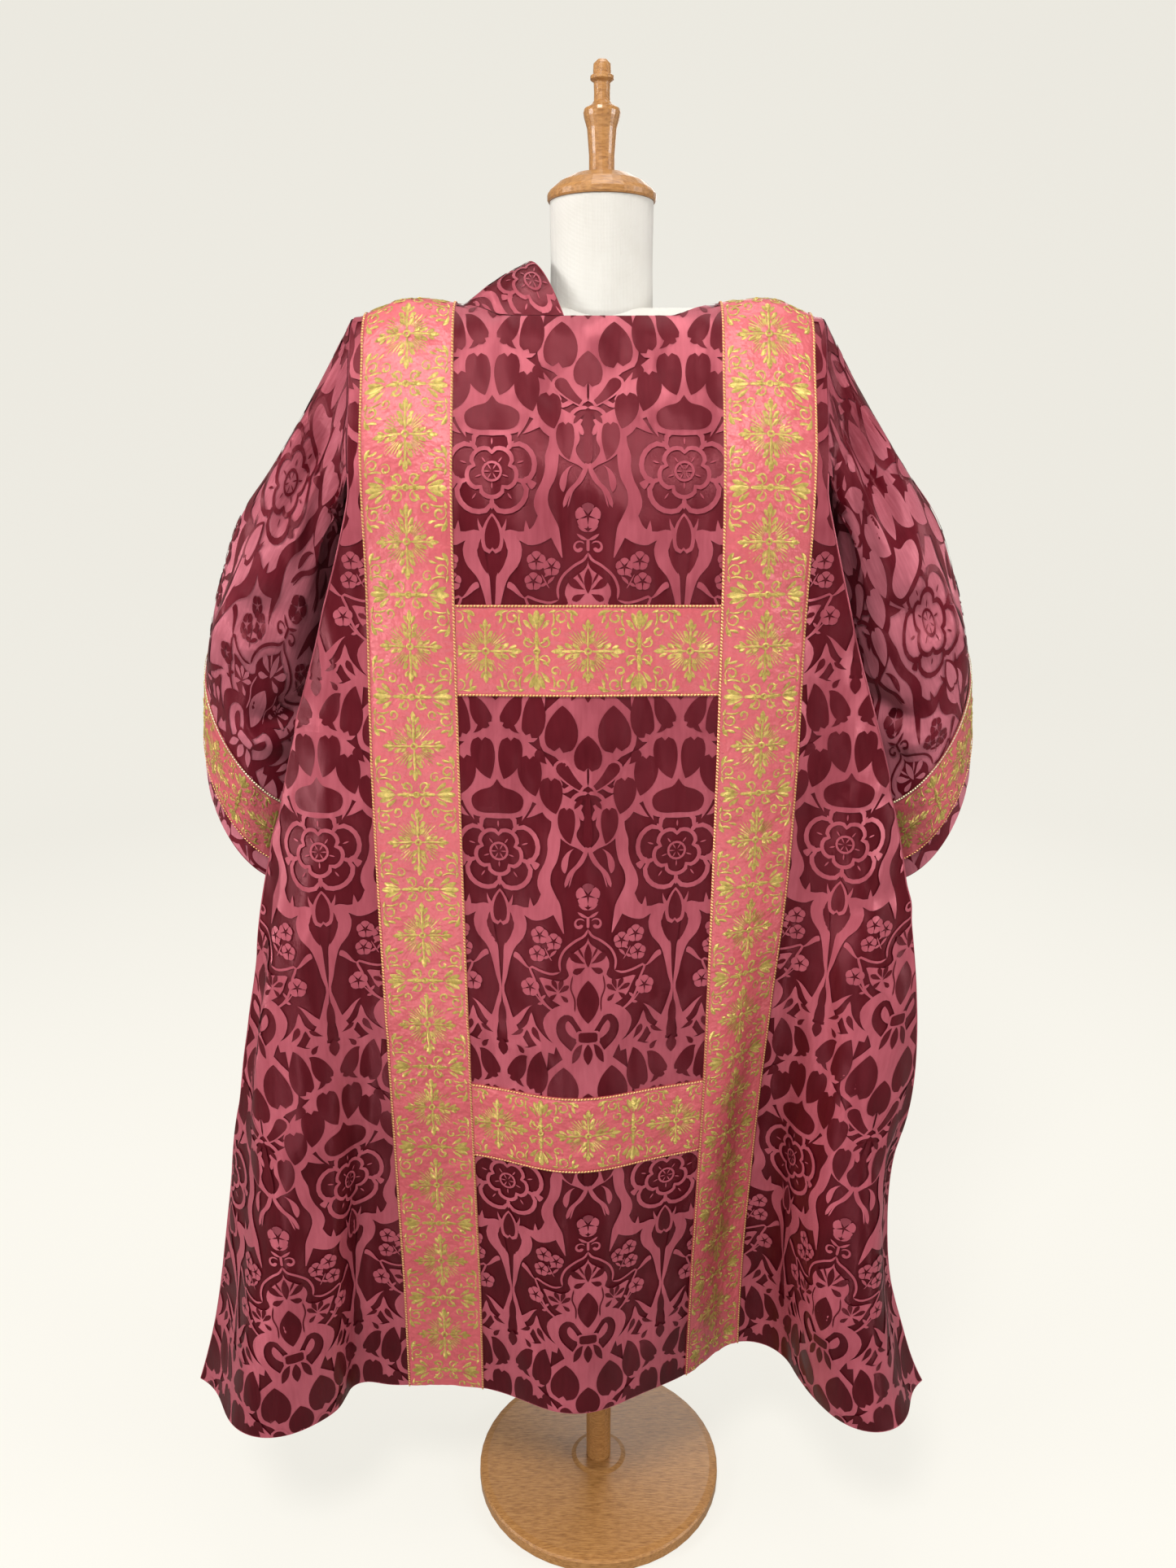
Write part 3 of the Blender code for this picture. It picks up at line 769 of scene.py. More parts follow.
FIELDS = (
    Field(
        ((0, -20), (0, 0), (0, 30), (0, 60), (0, 92)),
        ((10, -24), (19, -8), (34, 6), (47, 20), (50, 40), (46, 56), (34, 62), (20, 78), (11, 96)),
    ),
    Field(
        ((27, 92), (27, 106), (24, 122), (28, 142), (29, 156), (32, 170), (38, 182), (39, 194),
         (34, 206), (29, 216), (27, 228), (25, 246)),
        ((40, 90), (46, 104), (39, 120), (38, 134), (42, 148), (42, 160), (45, 172), (51, 184),
         (53, 196), (48, 208), (40, 219), (34, 231), (26, 246)),
    ),
    Field(
        ((48, 203), (55, 217), (66, 221), (77, 219), (88, 223)),
        ((35, 226), (46, 232), (58, 234), (70, 229), (82, 236)),
    ),
    Field(
        ((72, 222), (65, 236), (68, 252), (79, 266), (84.5, 282), (88, 298), (91.5, 311),
         (88, 324), (83, 340), (76, 354), (64, 372)),
        ((88, 224), (79, 238), (82, 250), (90, 262), (91.5, 278), (92.5, 294), (94, 311),
         (93, 326), (91, 342), (88, 360), (86, 380)),
    ),
    Field(
        ((7, 328), (22, 322), (38, 328), (48, 342), (44, 358), (34, 370), (26, 386)),
        ((12, 337), (23, 333), (31, 339), (34, 350), (30, 362), (18, 374), (6, 384)),
    ),
    Field(
        ((34, 368), (46, 360), (56, 348), (61, 334), (66, 348), (76, 356), (88, 356)),
        ((36, 378), (50, 374), (60, 364), (66, 354), (70, 362), (78, 366), (88, 368)),
    ),
    Field(
        ((5, 112), (9, 122), (8, 132), (12, 142), (8, 151), (1, 158)),
        ((30, 98), (36, 112), (34, 130), (31, 143), (21, 152), (10, 157), (2, 163)),
    ),
    Field(
        ((26, 90), (32, 78), (44, 62), (58, 50), (70, 40), (82, 34), (94, 33)),
        ((36, 130), (44, 124), (52, 112), (61, 107), (70, 98), (82, 93), (94, 84)),
    ),
    Field(
        ((42, -10), (54, -14), (66, -10), (80, -14), (94, -11)),
        ((46, 30), (54, 46), (66, 46), (80, 40), (94, 40)),
    ),
)
ONION = (
    Field(
        ((94, 80), (94, 92), (94, 108), (94, 118), (94, 128)),
        ((94, 80), (88, 88), (74, 93), (63, 100), (61, 112), (66, 123), (78, 127), (94, 128)),
    ),
    Field(
        ((94, 86), (94, 96), (94, 108), (94, 116), (94, 122)),
        ((94, 86), (88, 94), (76, 98), (68, 104), (67, 112), (71, 119), (80, 122), (94, 122)), GROUND,
    ),
)
BRANCHES = (
    Stroke(52, 178, 62, 168, 9, Width.THORN, 8, 8),
    Stroke(59, 224, 61, 210, 7, Width.THORN, 12, 0),
    Line(((0, 152), (3, 162), (10, 174), (19, 184), (24, 198)), 4.2),
    Line(((0, 160), (6, 172), (15, 182), (20, 198)), 1.6),
    Stroke(14, 157, 24, 183, 7, Width.PETAL, -50, -34),
    Line(((0, 99), (9, 100), (16, 106), (17, 116)), 4.0),
    Line(((0, 92), (14, 92), (25, 97), (31, 90)), 5.0),
    Stroke(30, 97, 40, 86, 7, Width.THORN, 10, 20),
    Line(((5, 128), (9, 118), (16, 117), (19, 124)), 4.6),
    Stroke(62, 100, 69, 130, 11, Width.THORN, 24, 10),
    Stroke(44, 112, 64, 126, 13, Width.THORN, -20, 12),
    Stroke(36, 104, 66, 90, 9, Width.STEM, 20, 14),
    Stroke(80, 272, 60, 286, 7, Width.THORN, 26, -34),
    Stroke(84, 226, 89, 262, 7, Width.LEAF, 24, 14, GROUND),
    Stroke(88, 226, 80, 208, 6, Width.THORN, -20, -20),
    Stroke(82, 348, 60, 326, 9, Width.THORN, -18, 20),
    Stroke(2, 362, 21, 340, 9, Width.PETAL, 44, 46),
    Stroke(0, 221, 10, 215, 3.2, Width.LEAF, 20, 10),
    Stroke(0, 229, 11, 223, 3.2, Width.LEAF, 20, 10),
    Stroke(0, 228, 0, 240, 3.0, Width.BRANCH),
    Line(((0, 241), (4, 248), (14, 254), (25, 264), (30, 276), (29, 287)), 2.6),
    Line(((29, 287), (38, 290), (49, 288), (62, 284), (57, 298), (53, 312), (45, 324), (34, 332)), 2.6),
)
LEAVES = (
    Stroke(29, 52, 26, 9, 34, Width.HEART, -6, -6, GROUND),
    Stroke(0, 73, 0, 40, 29, Width.HEART, 0, 0, GROUND),
    Line(((0, 72), (0, 92)), 2.0, GROUND),
    Stroke(7, 94, 30, 69, 16, Width.TONGUE, 14, 10, GROUND, 3.4),
    Stroke(38, 87, 33, 121, 24, Width.HEART, -14, -10, GROUND),
    Stroke(60, 65, 54, 103, 25, Width.HEART, -14, -10, GROUND),
    Stroke(79, 46, 87, 86, 25, Width.HEART, 12, 12, GROUND),
    Stroke(42, 70, 52, 55, 11, Width.PETAL, 20, 14, GROUND),
    Stroke(59, 38, 50, -8, 24, Width.HEART, -16, 14, GROUND),
    Stroke(86, 27, 66, 0, 19, Width.HEART, -30, 34, GROUND),
    Stroke(94, 4, 94, -16, 12, Width.LEAF, 0, 0, GROUND),
    Stroke(70, 38, 80, 27, 6, Width.PETAL, 30, 20, GROUND),
    Stroke(78, -12, 70, -3, 6, Width.PETAL, 30, 10, GROUND),
    Stroke(22, 117, 18, 152, 18, Width.HEART, -10, -16, GROUND),
    Stroke(0, 104, 0, 156, 12, Width.TONGUE, 0, 0, GROUND),
    Stroke(4, 106, 14, 116, 5, Width.LEAF, -34, -20, GROUND),
    Stroke(0, 366, 0, 390, 10, Width.LEAF, 0, 0, GROUND),
    Stroke(6, 366, 17, 388, 8, Width.LEAF, -20, 10, GROUND),
    Stroke(50, 366, 59, 350, 7, Width.PETAL, 10, 20, GROUND),
    Stroke(84, 362, 70, 354, 5, Width.PETAL, -16, -10, GROUND),
    Stroke(HALF_REPEAT, 236, HALF_REPEAT, 206, 15, Width.HEART, 0, 0, GROUND, 3.5),
    Stroke(HALF_REPEAT, 352, HALF_REPEAT, 324, 9, Width.HEART, 0, 0, GROUND),
)
CARTOUCHE = (
    Field(
        ((0, 249), (0, 280), (0, 310), (0, 335), (0, 358)),
        ((0, 251), (3, 257), (11, 263), (20, 271), (23, 281), (20, 291), (31, 298), (42, 297),
         (52, 294), (48, 303), (44, 312), (37, 319), (28, 324), (20, 330), (11, 343), (2, 358)),
    ),
    Stroke(0, 342, 0, 295, 24, Width.LEAF, 0, 0, GROUND),
    Stroke(0, 281, 0, 256, 8, Width.LEAF, 0, 0, GROUND),
    Stroke(3, 277, 19, 266, 8, Width.PETAL, 20, 16, GROUND),
    Stroke(3, 281, 16, 287, 7, Width.PETAL, 10, 10, GROUND),
    Stroke(4, 273, 10, 260, 2.6, Width.PETAL, -10, 10, GROUND),
    Stroke(31, 310, 20, 301, 5.6, Width.PETAL, 0, 0, GROUND),
    Stroke(31, 308, 27, 295, 5.6, Width.PETAL, 0, 0, GROUND),
    Stroke(32, 307, 38, 296, 5.6, Width.PETAL, 0, 0, GROUND),
    Stroke(33, 309, 46, 303, 5.6, Width.PETAL, 0, 0, GROUND),
    Stroke(33, 311, 41, 318, 5.0, Width.PETAL, 0, 0, GROUND),
    Stroke(29, 312, 21, 319, 5.0, Width.PETAL, 0, 0, GROUND),
    Line(((16, 290), (18, 304), (14, 316), (14, 330)), 1.6, GROUND),
    Stroke(0, 352, 0, 364, 20, Width.BRANCH, 0, 0, GROUND, 2.6),
)
SPRIGS = (
    Stroke(38, 276, 46, 262, 1.4, Width.STEM, 10, 0),
    Stroke(40, 272, 33, 264, 3.2, Width.LEAF, 20, 0),
    Stroke(41, 270, 47, 274, 3.2, Width.LEAF, 20, 0),
    Stroke(43, 265, 37, 260, 2.8, Width.LEAF, 20, 0),
    Stroke(44, 326, 57, 313, 1.6, Width.STEM, 14, 0),
    Stroke(48, 322, 54, 324, 3.2, Width.LEAF, 20, 0),
    Stroke(50, 319, 45, 313, 3.2, Width.LEAF, 20, 0),
)
BLOSSOMS = (
    *blossom(0, 206, 13, 12.5),
    *blossom(51, 249, 9.6, 9.4),
    *blossom(36, 255, 9.0, 8.8),
    *blossom(54, 269, 9.0, 8.8),
    *blossom(62, 306, 10.4, 10.2),
)
LAYERS = (
    (FIELDS, 0.00020),
    (BRANCHES, 0.00024),
    (ONION, 0.00082),
    (CARTOUCHE, 0.00074),
    (LEAVES, 0.00052),
    (SPRIGS, 0.00034),
    (BLOSSOMS, 0.00038),
)
HEIGHT_STEP = 0.000035
LOWER_FIGURES = 0.00034
CURL_LAYER = 0.00024
SEPAL_LAYER, PETAL_LAYER, HEART_LAYER, RING_LAYER, WHEEL_LAYER = 0.00042, 0.00043, 0.00044, 0.00046, 0.00047
SEPALS = ((24, 37, 5.0, 54.0), (26, 33, 1.8, 90.0), (10.5, 17, 1.6, 54.0))


class Damask:
    """The woven repeat: branches, leaves, roses and a palmette cartouche, mirrored left to right."""

    def half(self) -> tuple[list[Patch], list[Patch]]:
        """The shapes that are mirrored, and those that stand on an axis."""
        mirrored: list[Patch] = []
        centred: list[Patch] = []
        for shapes, base in LAYERS:
            for k, shape in enumerate(shapes):
                lower = shape.tone is FIGURE and shapes in (CARTOUCHE, ONION)
                layer = base - (LOWER_FIGURES if lower else 0.0) + HEIGHT_STEP * (k % 4) / 4
                alone = isinstance(shape, Stroke) and shape.centred
                (centred if alone else mirrored).extend(shape.patches(layer))
        mirrored.extend(Scroll(9, 236, 6.5, -150, 330, 3.0).patches(CURL_LAYER))
        centred.extend(self.rose())
        return mirrored, centred

    def rose(self) -> list[Patch]:
        """A double rose of two scalloped rings, a wheel with spokes, and sepals between the petals."""
        x, y = ROSE
        made = Ring(x, y, 43, 5, 0.28, 5.0).patches(PETAL_LAYER)
        made += Ring(x, y, 25, 5, 0.26, 4.2, 36).patches(HEART_LAYER)
        made += Ring(x, y, 9, 0, 0.0, 2.4).patches(RING_LAYER)
        for k in range(5):
            for inner, outer, width, turn in SEPALS:
                sepal = spoke(ROSE, -(turn + 72 * k), inner, outer, width, Width.LEAF)
                made += sepal.patches(SEPAL_LAYER, steps=6)
        for k in range(6):
            made += spoke(ROSE, 60 * k, 1.5, 8, 1.5, Width.PETAL).patches(WHEEL_LAYER, steps=5)
        return made

    def repeat(self) -> Patch:
        """One whole repeat, its origin at the top of the cartouche's axis."""
        mirrored, centred = self.half()
        side = joined(mirrored)
        return joined([side, side.mirrored(0), joined(centred)])


# Meshes


def shell(outer: Array, inner: Array, closed: bool) -> tuple[Array, Array]:
    """A thin wall between two grids, with rims along its open edges.

    Args:
        outer: rows by columns by 3 points of the outer side.
        inner: the same of the inner side.
        closed: whether the last column is the first one.

    Returns:
        Vertices and four-cornered faces.
    """
    rows, columns = outer.shape[:2]
    across = columns - 1 if closed else columns
    number = np.arange(rows * across).reshape(rows, across)
    wrapped = np.hstack([number, number[:, :1]]) if closed else number
    face = cells(wrapped)
    size = rows * across
    faces = [face, face[:, ::-1] + size]
    edges = [(wrapped[0], True), (wrapped[-1], False)]
    if not closed:
        edges += [(wrapped[:, 0], False), (wrapped[:, -1], True)]
    for edge, flip in edges:
        rim = np.stack([edge[:-1], edge[1:], edge[1:] + size, edge[:-1] + size], axis=1)
        faces.append(rim if flip else rim[:, ::-1])
    points = np.concatenate([outer[:, :across].reshape(-1, 3), inner[:, :across].reshape(-1, 3)])
    return points, np.concatenate(faces)


def write_mesh(
    name: str,
    points: Array,
    faces: Array,
    finishes: Sequence[bpy.types.Material],
    maps: dict[str, Array],
    tone: Array,
) -> bpy.types.Object:
    """A mesh object in the scene, at the origin, that rides on the body.

    Args:
        name: the piece's name.
        points: vertices.
        faces: four corners a face.
        finishes: its materials.
        maps: UV maps by name, one pair of values for each vertex.
        tone: which material each face has.

    Returns:
        The object.
    """
    mesh = bpy.data.meshes.new(name)
    mesh.from_pydata(points.tolist(), [], faces.tolist())
    for finish in finishes:
        mesh.materials.append(finish)
    mesh.polygons.foreach_set("material_index", np.asarray(tone, dtype=np.int32))
    corners = np.empty(len(mesh.loops), dtype=np.int32)
    mesh.loops.foreach_get("vertex_index", corners)
    for label, values in maps.items():
        layer = mesh.uv_layers.new(name=label)
        layer.uv.foreach_set("vector", np.asarray(values, dtype=np.float32)[corners].reshape(-1))
    mesh.shade_smooth()
    mesh.set_sharp_from_angle(angle=math.radians(SHARP_FROM))
    made = bpy.data.objects.new(name, mesh)
    bpy.context.scene.collection.objects.link(made)
    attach(made, BODY)
    LOG.info("%s: %d faces", name, len(mesh.polygons))
    return made


SHARP_FROM = 60.0
LEAST_AREA = 4e-9


def write_patch(
    name: str, patch: Patch, chart: Chart, lift: Array | float, finishes: Sequence[bpy.types.Material]
) -> bpy.types.Object:
    """A figure laid on a chart: faces that were clipped to nothing go, then the points that no face uses.

    A face's size is the cross product of its diagonals. All faces are turned outwards together.

    Args:
        name: the piece's name.
        patch: the figure in the chart's flat coordinates.
        chart: the surface it lies on.
        lift: height of the ground under each point over the chart.
        finishes: its materials.

    Returns:
        The object.
    """
    corner = patch.flat[patch.faces]
    first, second = corner[:, 2] - corner[:, 0], corner[:, 3] - corner[:, 1]
    kept = np.abs(first[:, 0] * second[:, 1] - first[:, 1] * second[:, 0]) > LEAST_AREA
    faces, tone = patch.faces[kept], patch.tone[kept]
    used, faces = np.unique(faces, return_inverse=True)
    faces = faces.reshape(-1, 4)
    flat = patch.flat[used]
    height = patch.height[used] + (lift if np.isscalar(lift) else lift[used])
    points = chart.read(flat[:, 0], flat[:, 1], height)
    made = write_mesh(name, points, faces, finishes, {"Flat": flat, "Thread": patch.thread[used]}, tone)
    facing = np.empty(3 * len(faces))
    made.data.polygons.foreach_get("normal", facing)
    middles = flat[faces].mean(axis=1).T
    outward = chart.read(*middles, 0.01) - chart.read(*middles, 0.0)
    if (facing.reshape(-1, 3) * outward).sum() < 0:
        made.data.flip_normals()
    return made


# Shader maths


class Value:
    """A socket that takes part in expressions; each operator adds its Math node."""

    def __init__(self, graph: "Graph", socket: bpy.types.NodeSocket) -> None:
        """Keeps the socket and the graph that it belongs to."""
        self.graph, self.socket = graph, socket

    def _with(self, operation: str, first: Any, second: Any) -> "Value":
        """One Math node on two values or numbers."""
        return self.graph.node("ShaderNodeMath", {"operation": operation}, {0: first, 1: second})

    def __add__(self, other: Any) -> "Value":
        """Sum."""
        return self._with("ADD", self, other)

    __radd__ = __add__

    def __sub__(self, other: Any) -> "Value":
        """Difference."""
        return self._with("SUBTRACT", self, other)

    def __rsub__(self, other: Any) -> "Value":
        """Difference from a number."""
        return self._with("SUBTRACT", other, self)

    def __mul__(self, other: Any) -> "Value":
        """Product."""
        return self._with("MULTIPLY", self, other)

    __rmul__ = __mul__

    def __truediv__(self, other: Any) -> "Value":
        """Quotient."""
        return self._with("DIVIDE", self, other)

    def wave(self, period: float) -> "Value":
        """A sine from -1 to 1 with this period."""
        turned = self * (2 * math.pi / period)
        return self.graph.node("ShaderNodeMath", {"operation": "SINE"}, {0: turned})


class Graph:
    """One material's nodes, made from expressions."""

    def __init__(self, name: str) -> None:
        """Makes the material and finds its Principled shader."""
        self.material = bpy.data.materials.new(name)
        self.material.use_nodes = True
        self.tree = self.material.node_tree
        self.shader = self.tree.nodes["Principled BSDF"]

    def node(
        self, kind: str, settings: dict[str, Any], inputs: dict[Any, Any], output: int | str = 0
    ) -> Value:
        """Adds one node.

        Args:
            kind: the node's type.
            settings: properties set first; "stops" gives a ramp its positions and colours.
            inputs: numbers, colours or values by socket name or number.
            output: which socket to return.

        Returns:
            The chosen output.
        """
        made = self.tree.nodes.new(kind)
        for key, value in settings.items():
            if key == "stops":
                stops = made.color_ramp.elements
                while len(stops) < len(value):
                    stops.new(0.5)
                for element, (place, colour) in zip(stops, value):
                    element.position, element.color = place, (*colour, 1.0)
            else:
                setattr(made, key, value)
        for key, value in inputs.items():
            if isinstance(value, Value):
                self.tree.links.new(value.socket, made.inputs[key])
            elif value is not None:
                made.inputs[key].default_value = value
        return Value(self, made.outputs[output])

    def place(self, label: str = "") -> Value:
        """Object coordinates, or a named UV map."""
        if label:
            return self.node("ShaderNodeUVMap", {"uv_map": label}, {})
        return self.node("ShaderNodeTexCoord", {}, {}, "Object")

    def part(self, vector: Value, axis: int) -> Value:
        """One component of a vector."""
        return self.node("ShaderNodeSeparateXYZ", {}, {0: vector}, axis)

    def noise(self, vector: Value, size: float, detail: float = 2.0, stretch: tuple = (1, 1, 1)) -> Value:
        """Noise from 0 to 1 whose blots are about size metres wide, stretched along the axes."""
        scaled = self.node(
            "ShaderNodeVectorMath", {"operation": "MULTIPLY"}, {0: vector, 1: tuple(1 / s for s in stretch)}
        )
        return self.node("ShaderNodeTexNoise", {}, {"Vector": scaled, "Scale": 1 / size, "Detail": detail})

    def mix(self, share: Any, first: Any, second: Any) -> Value:
        """Two colours mixed by a share."""
        return self.node("ShaderNodeMix", {"data_type": "RGBA"}, {0: share, 6: first, 7: second}, 2)

    def bump(self, height: Value, distance: float, under: Value | None = None) -> Value:
        """A Bump node; under is one that lies below it."""
        return self.node("ShaderNodeBump", {}, {"Height": height, "Distance": distance, "Normal": under})

    def set(self, **sockets: Any) -> None:
        """Sets or links the shader's sockets; an underline in a name stands for a space."""
        for key, value in sockets.items():
            socket = self.shader.inputs[key.replace("_", " ")]
            if isinstance(value, Value):
                self.tree.links.new(value.socket, socket)
            else:
                socket.default_value = value


@dataclass(frozen=True)
class Satin:
    """A satin-woven cloth: two shades that drift into each other, a twill line and its gloss.

    warp is the slope of the twill line and tint the colour of the gloss. pucker and swell are how far the
    surface seems to rise in small and in slow waves. lift is painted light and shade: it lightens the cloth
    lower down, or darkens it there when negative, standing in for the satin's sheen changing with height.
    """

    name: str
    colour: Colour
    dark_tone_and_shade: Colour
    roughness: float
    gloss: float
    warp: float
    tint: Colour = (1.0, 0.50, 0.54)
    pucker: float = 0.0
    lift: float = 0.0
    swell: float = 0.0110

    def material(self) -> bpy.types.Material:
        """Base colour drifts over the cloth; fine lines of the weave run across its flat coordinates."""
        g = Graph(self.name)
        flat = g.place("Flat")
        drift = g.noise(g.place(), 0.060, 3.0)
        slub = g.noise(flat, 0.004, 2.0, (1.0, 6.0, 1.0))
        # Painted light and shade: the last term shifts the colour with height, lighter lower down for a
        # positive lift and darker for a negative one.
        share = drift * 0.8 + slub * 0.5 - 0.15 + (1.05 - g.part(g.place(), 2)) * self.lift
        twill = (g.part(flat, 0) + g.part(flat, 1) * self.warp).wave(0.00078)
        swell = g.bump(g.noise(g.place(), 0.048, 1.5, (1.0, 1.0, 2.4)), self.swell)
        normal = g.bump(twill * 0.5 + slub, 0.00006, swell)
        if self.pucker:
            normal = g.bump(g.noise(flat, 0.007, 2.0), self.pucker, normal)
        g.set(Base_Color=g.mix(share, (*self.dark_tone_and_shade, 1), (*self.colour, 1)), Normal=normal)
        g.set(Roughness=slub * 0.10 + (self.roughness - 0.05))
        g.set(Specular_IOR_Level=self.gloss, Specular_Tint=(*self.tint, 1))
        return g.material


@dataclass(frozen=True)
class Thread:
    """Metal embroidery thread laid side by side in satin stitch."""

    name: str
    colour: Colour
    dark_tone_and_shade: Colour
    metallic: float
    roughness: float
    stitch: float

    def material(self) -> bpy.types.Material:
        """Thread lines cross each shape; the colour deepens between them, which is painted shade in the
        grooves, and in random blots.
        """
        g = Graph(self.name)
        thread = g.place("Thread")
        lines = (g.part(thread, 0) + g.part(thread, 1) * 0.35).wave(self.stitch)
        blots = g.noise(g.place(), 0.0035, 2.0)
        # Painted shade: the dark end darkens the thread between its lines; the blots are random tone.
        share = lines * 0.32 + blots * 0.9 + 0.14
        g.set(Base_Color=g.mix(share, (*self.dark_tone_and_shade, 1), (*self.colour, 1)))
        g.set(Metallic=self.metallic, Roughness=self.roughness, Normal=g.bump(lines, 0.00012))
        return g.material


@dataclass(frozen=True)
class Cord:
    """A cord twisted from two strands."""

    name: str
    first: Colour
    second: Colour
    pitch: float

    def material(self) -> bpy.types.Material:
        """The strands wind round: their line is the way along over the pitch plus the way round."""
        g = Graph(self.name)
        thread = g.place("Thread")
        wind = (g.part(thread, 0) / self.pitch + g.part(thread, 1)).wave(1.0)
        share = g.node("ShaderNodeMapRange", {}, {0: wind, 1: -0.25, 2: 0.25, 3: 0.0, 4: 1.0})
        g.set(Base_Color=g.mix(share, (*self.first, 1), (*self.second, 1)), Metallic=0.45, Roughness=0.42)
        g.set(Normal=g.bump(wind, 0.0004))
        return g.material


@dataclass(frozen=True)
class Jersey:
    """The knitted cover of the dress form."""

    name: str = "cream_jersey"

    def material(self) -> bpy.types.Material:
        """Columns of fine loops and a slow drift of the cream."""
        g = Graph(self.name)
        place = g.place()
        loops = g.part(place, 0).wave(0.0011) * 0.5 + g.part(place, 2).wave(0.0009) * 0.5
        drift = g.noise(place, 0.05, 3.0)
        g.set(Base_Color=g.mix(drift, (0.70, 0.67, 0.61, 1), (0.83, 0.81, 0.76, 1)), Roughness=0.92)
        g.set(Normal=g.bump(loops + drift, 0.00018), Sheen_Weight=0.25, Sheen_Roughness=0.6)
        return g.material


OAK_STOPS = (
    (0.28, (0.23, 0.090, 0.022)),
    (0.52, (0.45, 0.210, 0.062)),
    (0.78, (0.60, 0.320, 0.115)),
)


@dataclass(frozen=True)
class Oak:
    """Golden oak under a satin varnish."""

    name: str = "golden_oak"

    def material(self) -> bpy.types.Material:
        """Grain runs up the wood as stretched noise, with darker pores along it."""
        g = Graph(self.name)
        place = g.place()
        grain = g.noise(place, 0.011, 4.0, (1.0, 0.16, 0.16))
        pores = g.noise(place, 0.0022, 2.0, (1.0, 0.10, 0.10))
        tone = g.node(
            "ShaderNodeValToRGB",
            {"stops": OAK_STOPS},
            {0: grain * 0.75 + pores * 0.25},
        )
        g.set(Base_Color=tone, Roughness=pores * 0.15 + 0.28, Coat_Weight=0.35, Coat_Roughness=0.18)
        g.set(Normal=g.bump(pores + grain, 0.00012))
        return g.material


RED, PALE = (1.0, 0.30, 0.36), (1.0, 0.74, 0.76)


class Finishes:
    """Every material of the object, made once."""

    def __init__(self) -> None:
        """Makes the cloths, threads, cords, jersey and wood."""
        colour, dark_tone_and_shade = (0.120, 0.0066, 0.0135), (0.050, 0.0014, 0.0040)
        ground = Satin("damask_ground", colour, dark_tone_and_shade, 0.32, 0.58, 1.0, RED)
        colour, dark_tone_and_shade = (0.480, 0.110, 0.145), (0.225, 0.032, 0.048)
        figure = Satin("damask_figure", colour, dark_tone_and_shade, 0.31, 1.0, -1.0, RED)
        # Painted light and shade: lower down the figure lightens and the ground darkens, and higher up they
        # draw together, standing in for the sheen that evens them out near the shoulders.
        self.ground = replace(ground, lift=-0.45).material()
        self.figure = replace(figure, lift=0.26).material()
        # Painted light: the sleeves get lighter copies of the body's two cloths, lighter still lower down,
        # standing in for the light and sheen on the sleeves.
        colour, dark_tone_and_shade = (0.190, 0.0130, 0.0260), (0.055, 0.0018, 0.0046)
        ground = replace(ground, name="sleeve_ground", colour=colour, dark_tone_and_shade=dark_tone_and_shade, lift=0.60)
        self.sleeve_ground = ground.material()
        colour, dark_tone_and_shade = (0.790, 0.250, 0.320), (0.270, 0.046, 0.066)
        figure = replace(figure, name="sleeve_figure", colour=colour, dark_tone_and_shade=dark_tone_and_shade, lift=1.10)
        self.sleeve_figure = figure.material()
        colour, dark_tone_and_shade = (0.74, 0.145, 0.168), (0.50, 0.072, 0.090)
        coral = Satin("coral_satin", colour, dark_tone_and_shade, 0.36, 0.90, 0.2, PALE, 0.0016, swell=0.004)
        self.coral = coral.material()
        # The gold's dark end is painted shade between the thread lines, and also random blots.
        colour, dark_tone_and_shade = (0.96, 0.74, 0.20), (0.17, 0.092, 0.012)
        self.gold = Thread("gold_thread", colour, dark_tone_and_shade, 0.40, 0.30, 0.0007).material()
        self.cord = Cord("gold_cord", (0.86, 0.60, 0.20), (0.62, 0.16, 0.12), 0.0034).material()
        self.pale_cord = Cord("pale_cord", (0.93, 0.86, 0.62), (0.72, 0.55, 0.28), 0.0034).material()
        self.jersey = Jersey().material()
        self.oak = Oak().material()


# Embroidery, charted for one cell of a band

CELL = 102.5 * MM
CROSS_ARM = (
    Stroke(0, 3, 0, 27, 2.6, Width.STEM),
    Stroke(0, 24, 0, 37, 4.8, Width.LEAF),
    Stroke(-2.6, 33, 2.6, 33, 1.5, Width.BRANCH),
    Stroke(0.8, 22, 6.0, 31, 3.2, Width.PETAL, -24, 10),
    Stroke(0.8, 15, 8.2, 23, 3.8, Width.PETAL, -26, 12),
    Stroke(0.8, 8, 7.0, 15, 3.4, Width.PETAL, -26, 12),
    Stroke(-0.8, 22, -6.0, 31, 3.2, Width.PETAL, 24, -10),
    Stroke(-0.8, 15, -8.2, 23, 3.8, Width.PETAL, 26, -12),
    Stroke(-0.8, 8, -7.0, 15, 3.4, Width.PETAL, 26, -12),
)
SCROLL_QUARTER = (
    Stroke(0, 0.4, 20, 0.4, 2.2, Width.BRANCH),
    Stroke(20, 0.6, 41, 0.6, 4.6, Width.PETAL),
    Stroke(22, 1.5, 38, 8.0, 4.2, Width.PETAL, 14, -18),
    Stroke(20, 3.0, 31, 13.5, 3.8, Width.PETAL, 18, -24),
    Stroke(8, 3.0, 15, 12, 2.0, Width.STEM, 40, 10),
    Stroke(38, 12, 41, 19, 2.4, Width.PETAL, -20, 26),
    Stroke(24, 15, 38, 16.5, 1.8, Width.STEM, 34, 30),
    Stroke(40, 27, 35, 41, 3.6, Width.PETAL, -30, -34),
    Stroke(40, 35, 28, 37.5, 2.6, Width.PETAL, 20, 30),
    Stroke(31, 31, 22, 34, 2.4, Width.PETAL, 16, 26),
)
SCROLL_CURLS = (
    Scroll(9.5, 8.5, 7.0, -40, -380, 2.2),
    Scroll(20, 18.5, 5.6, 40, 380, 2.2),
    Scroll(33.5, 24, 7.4, -60, 420, 2.2),
)


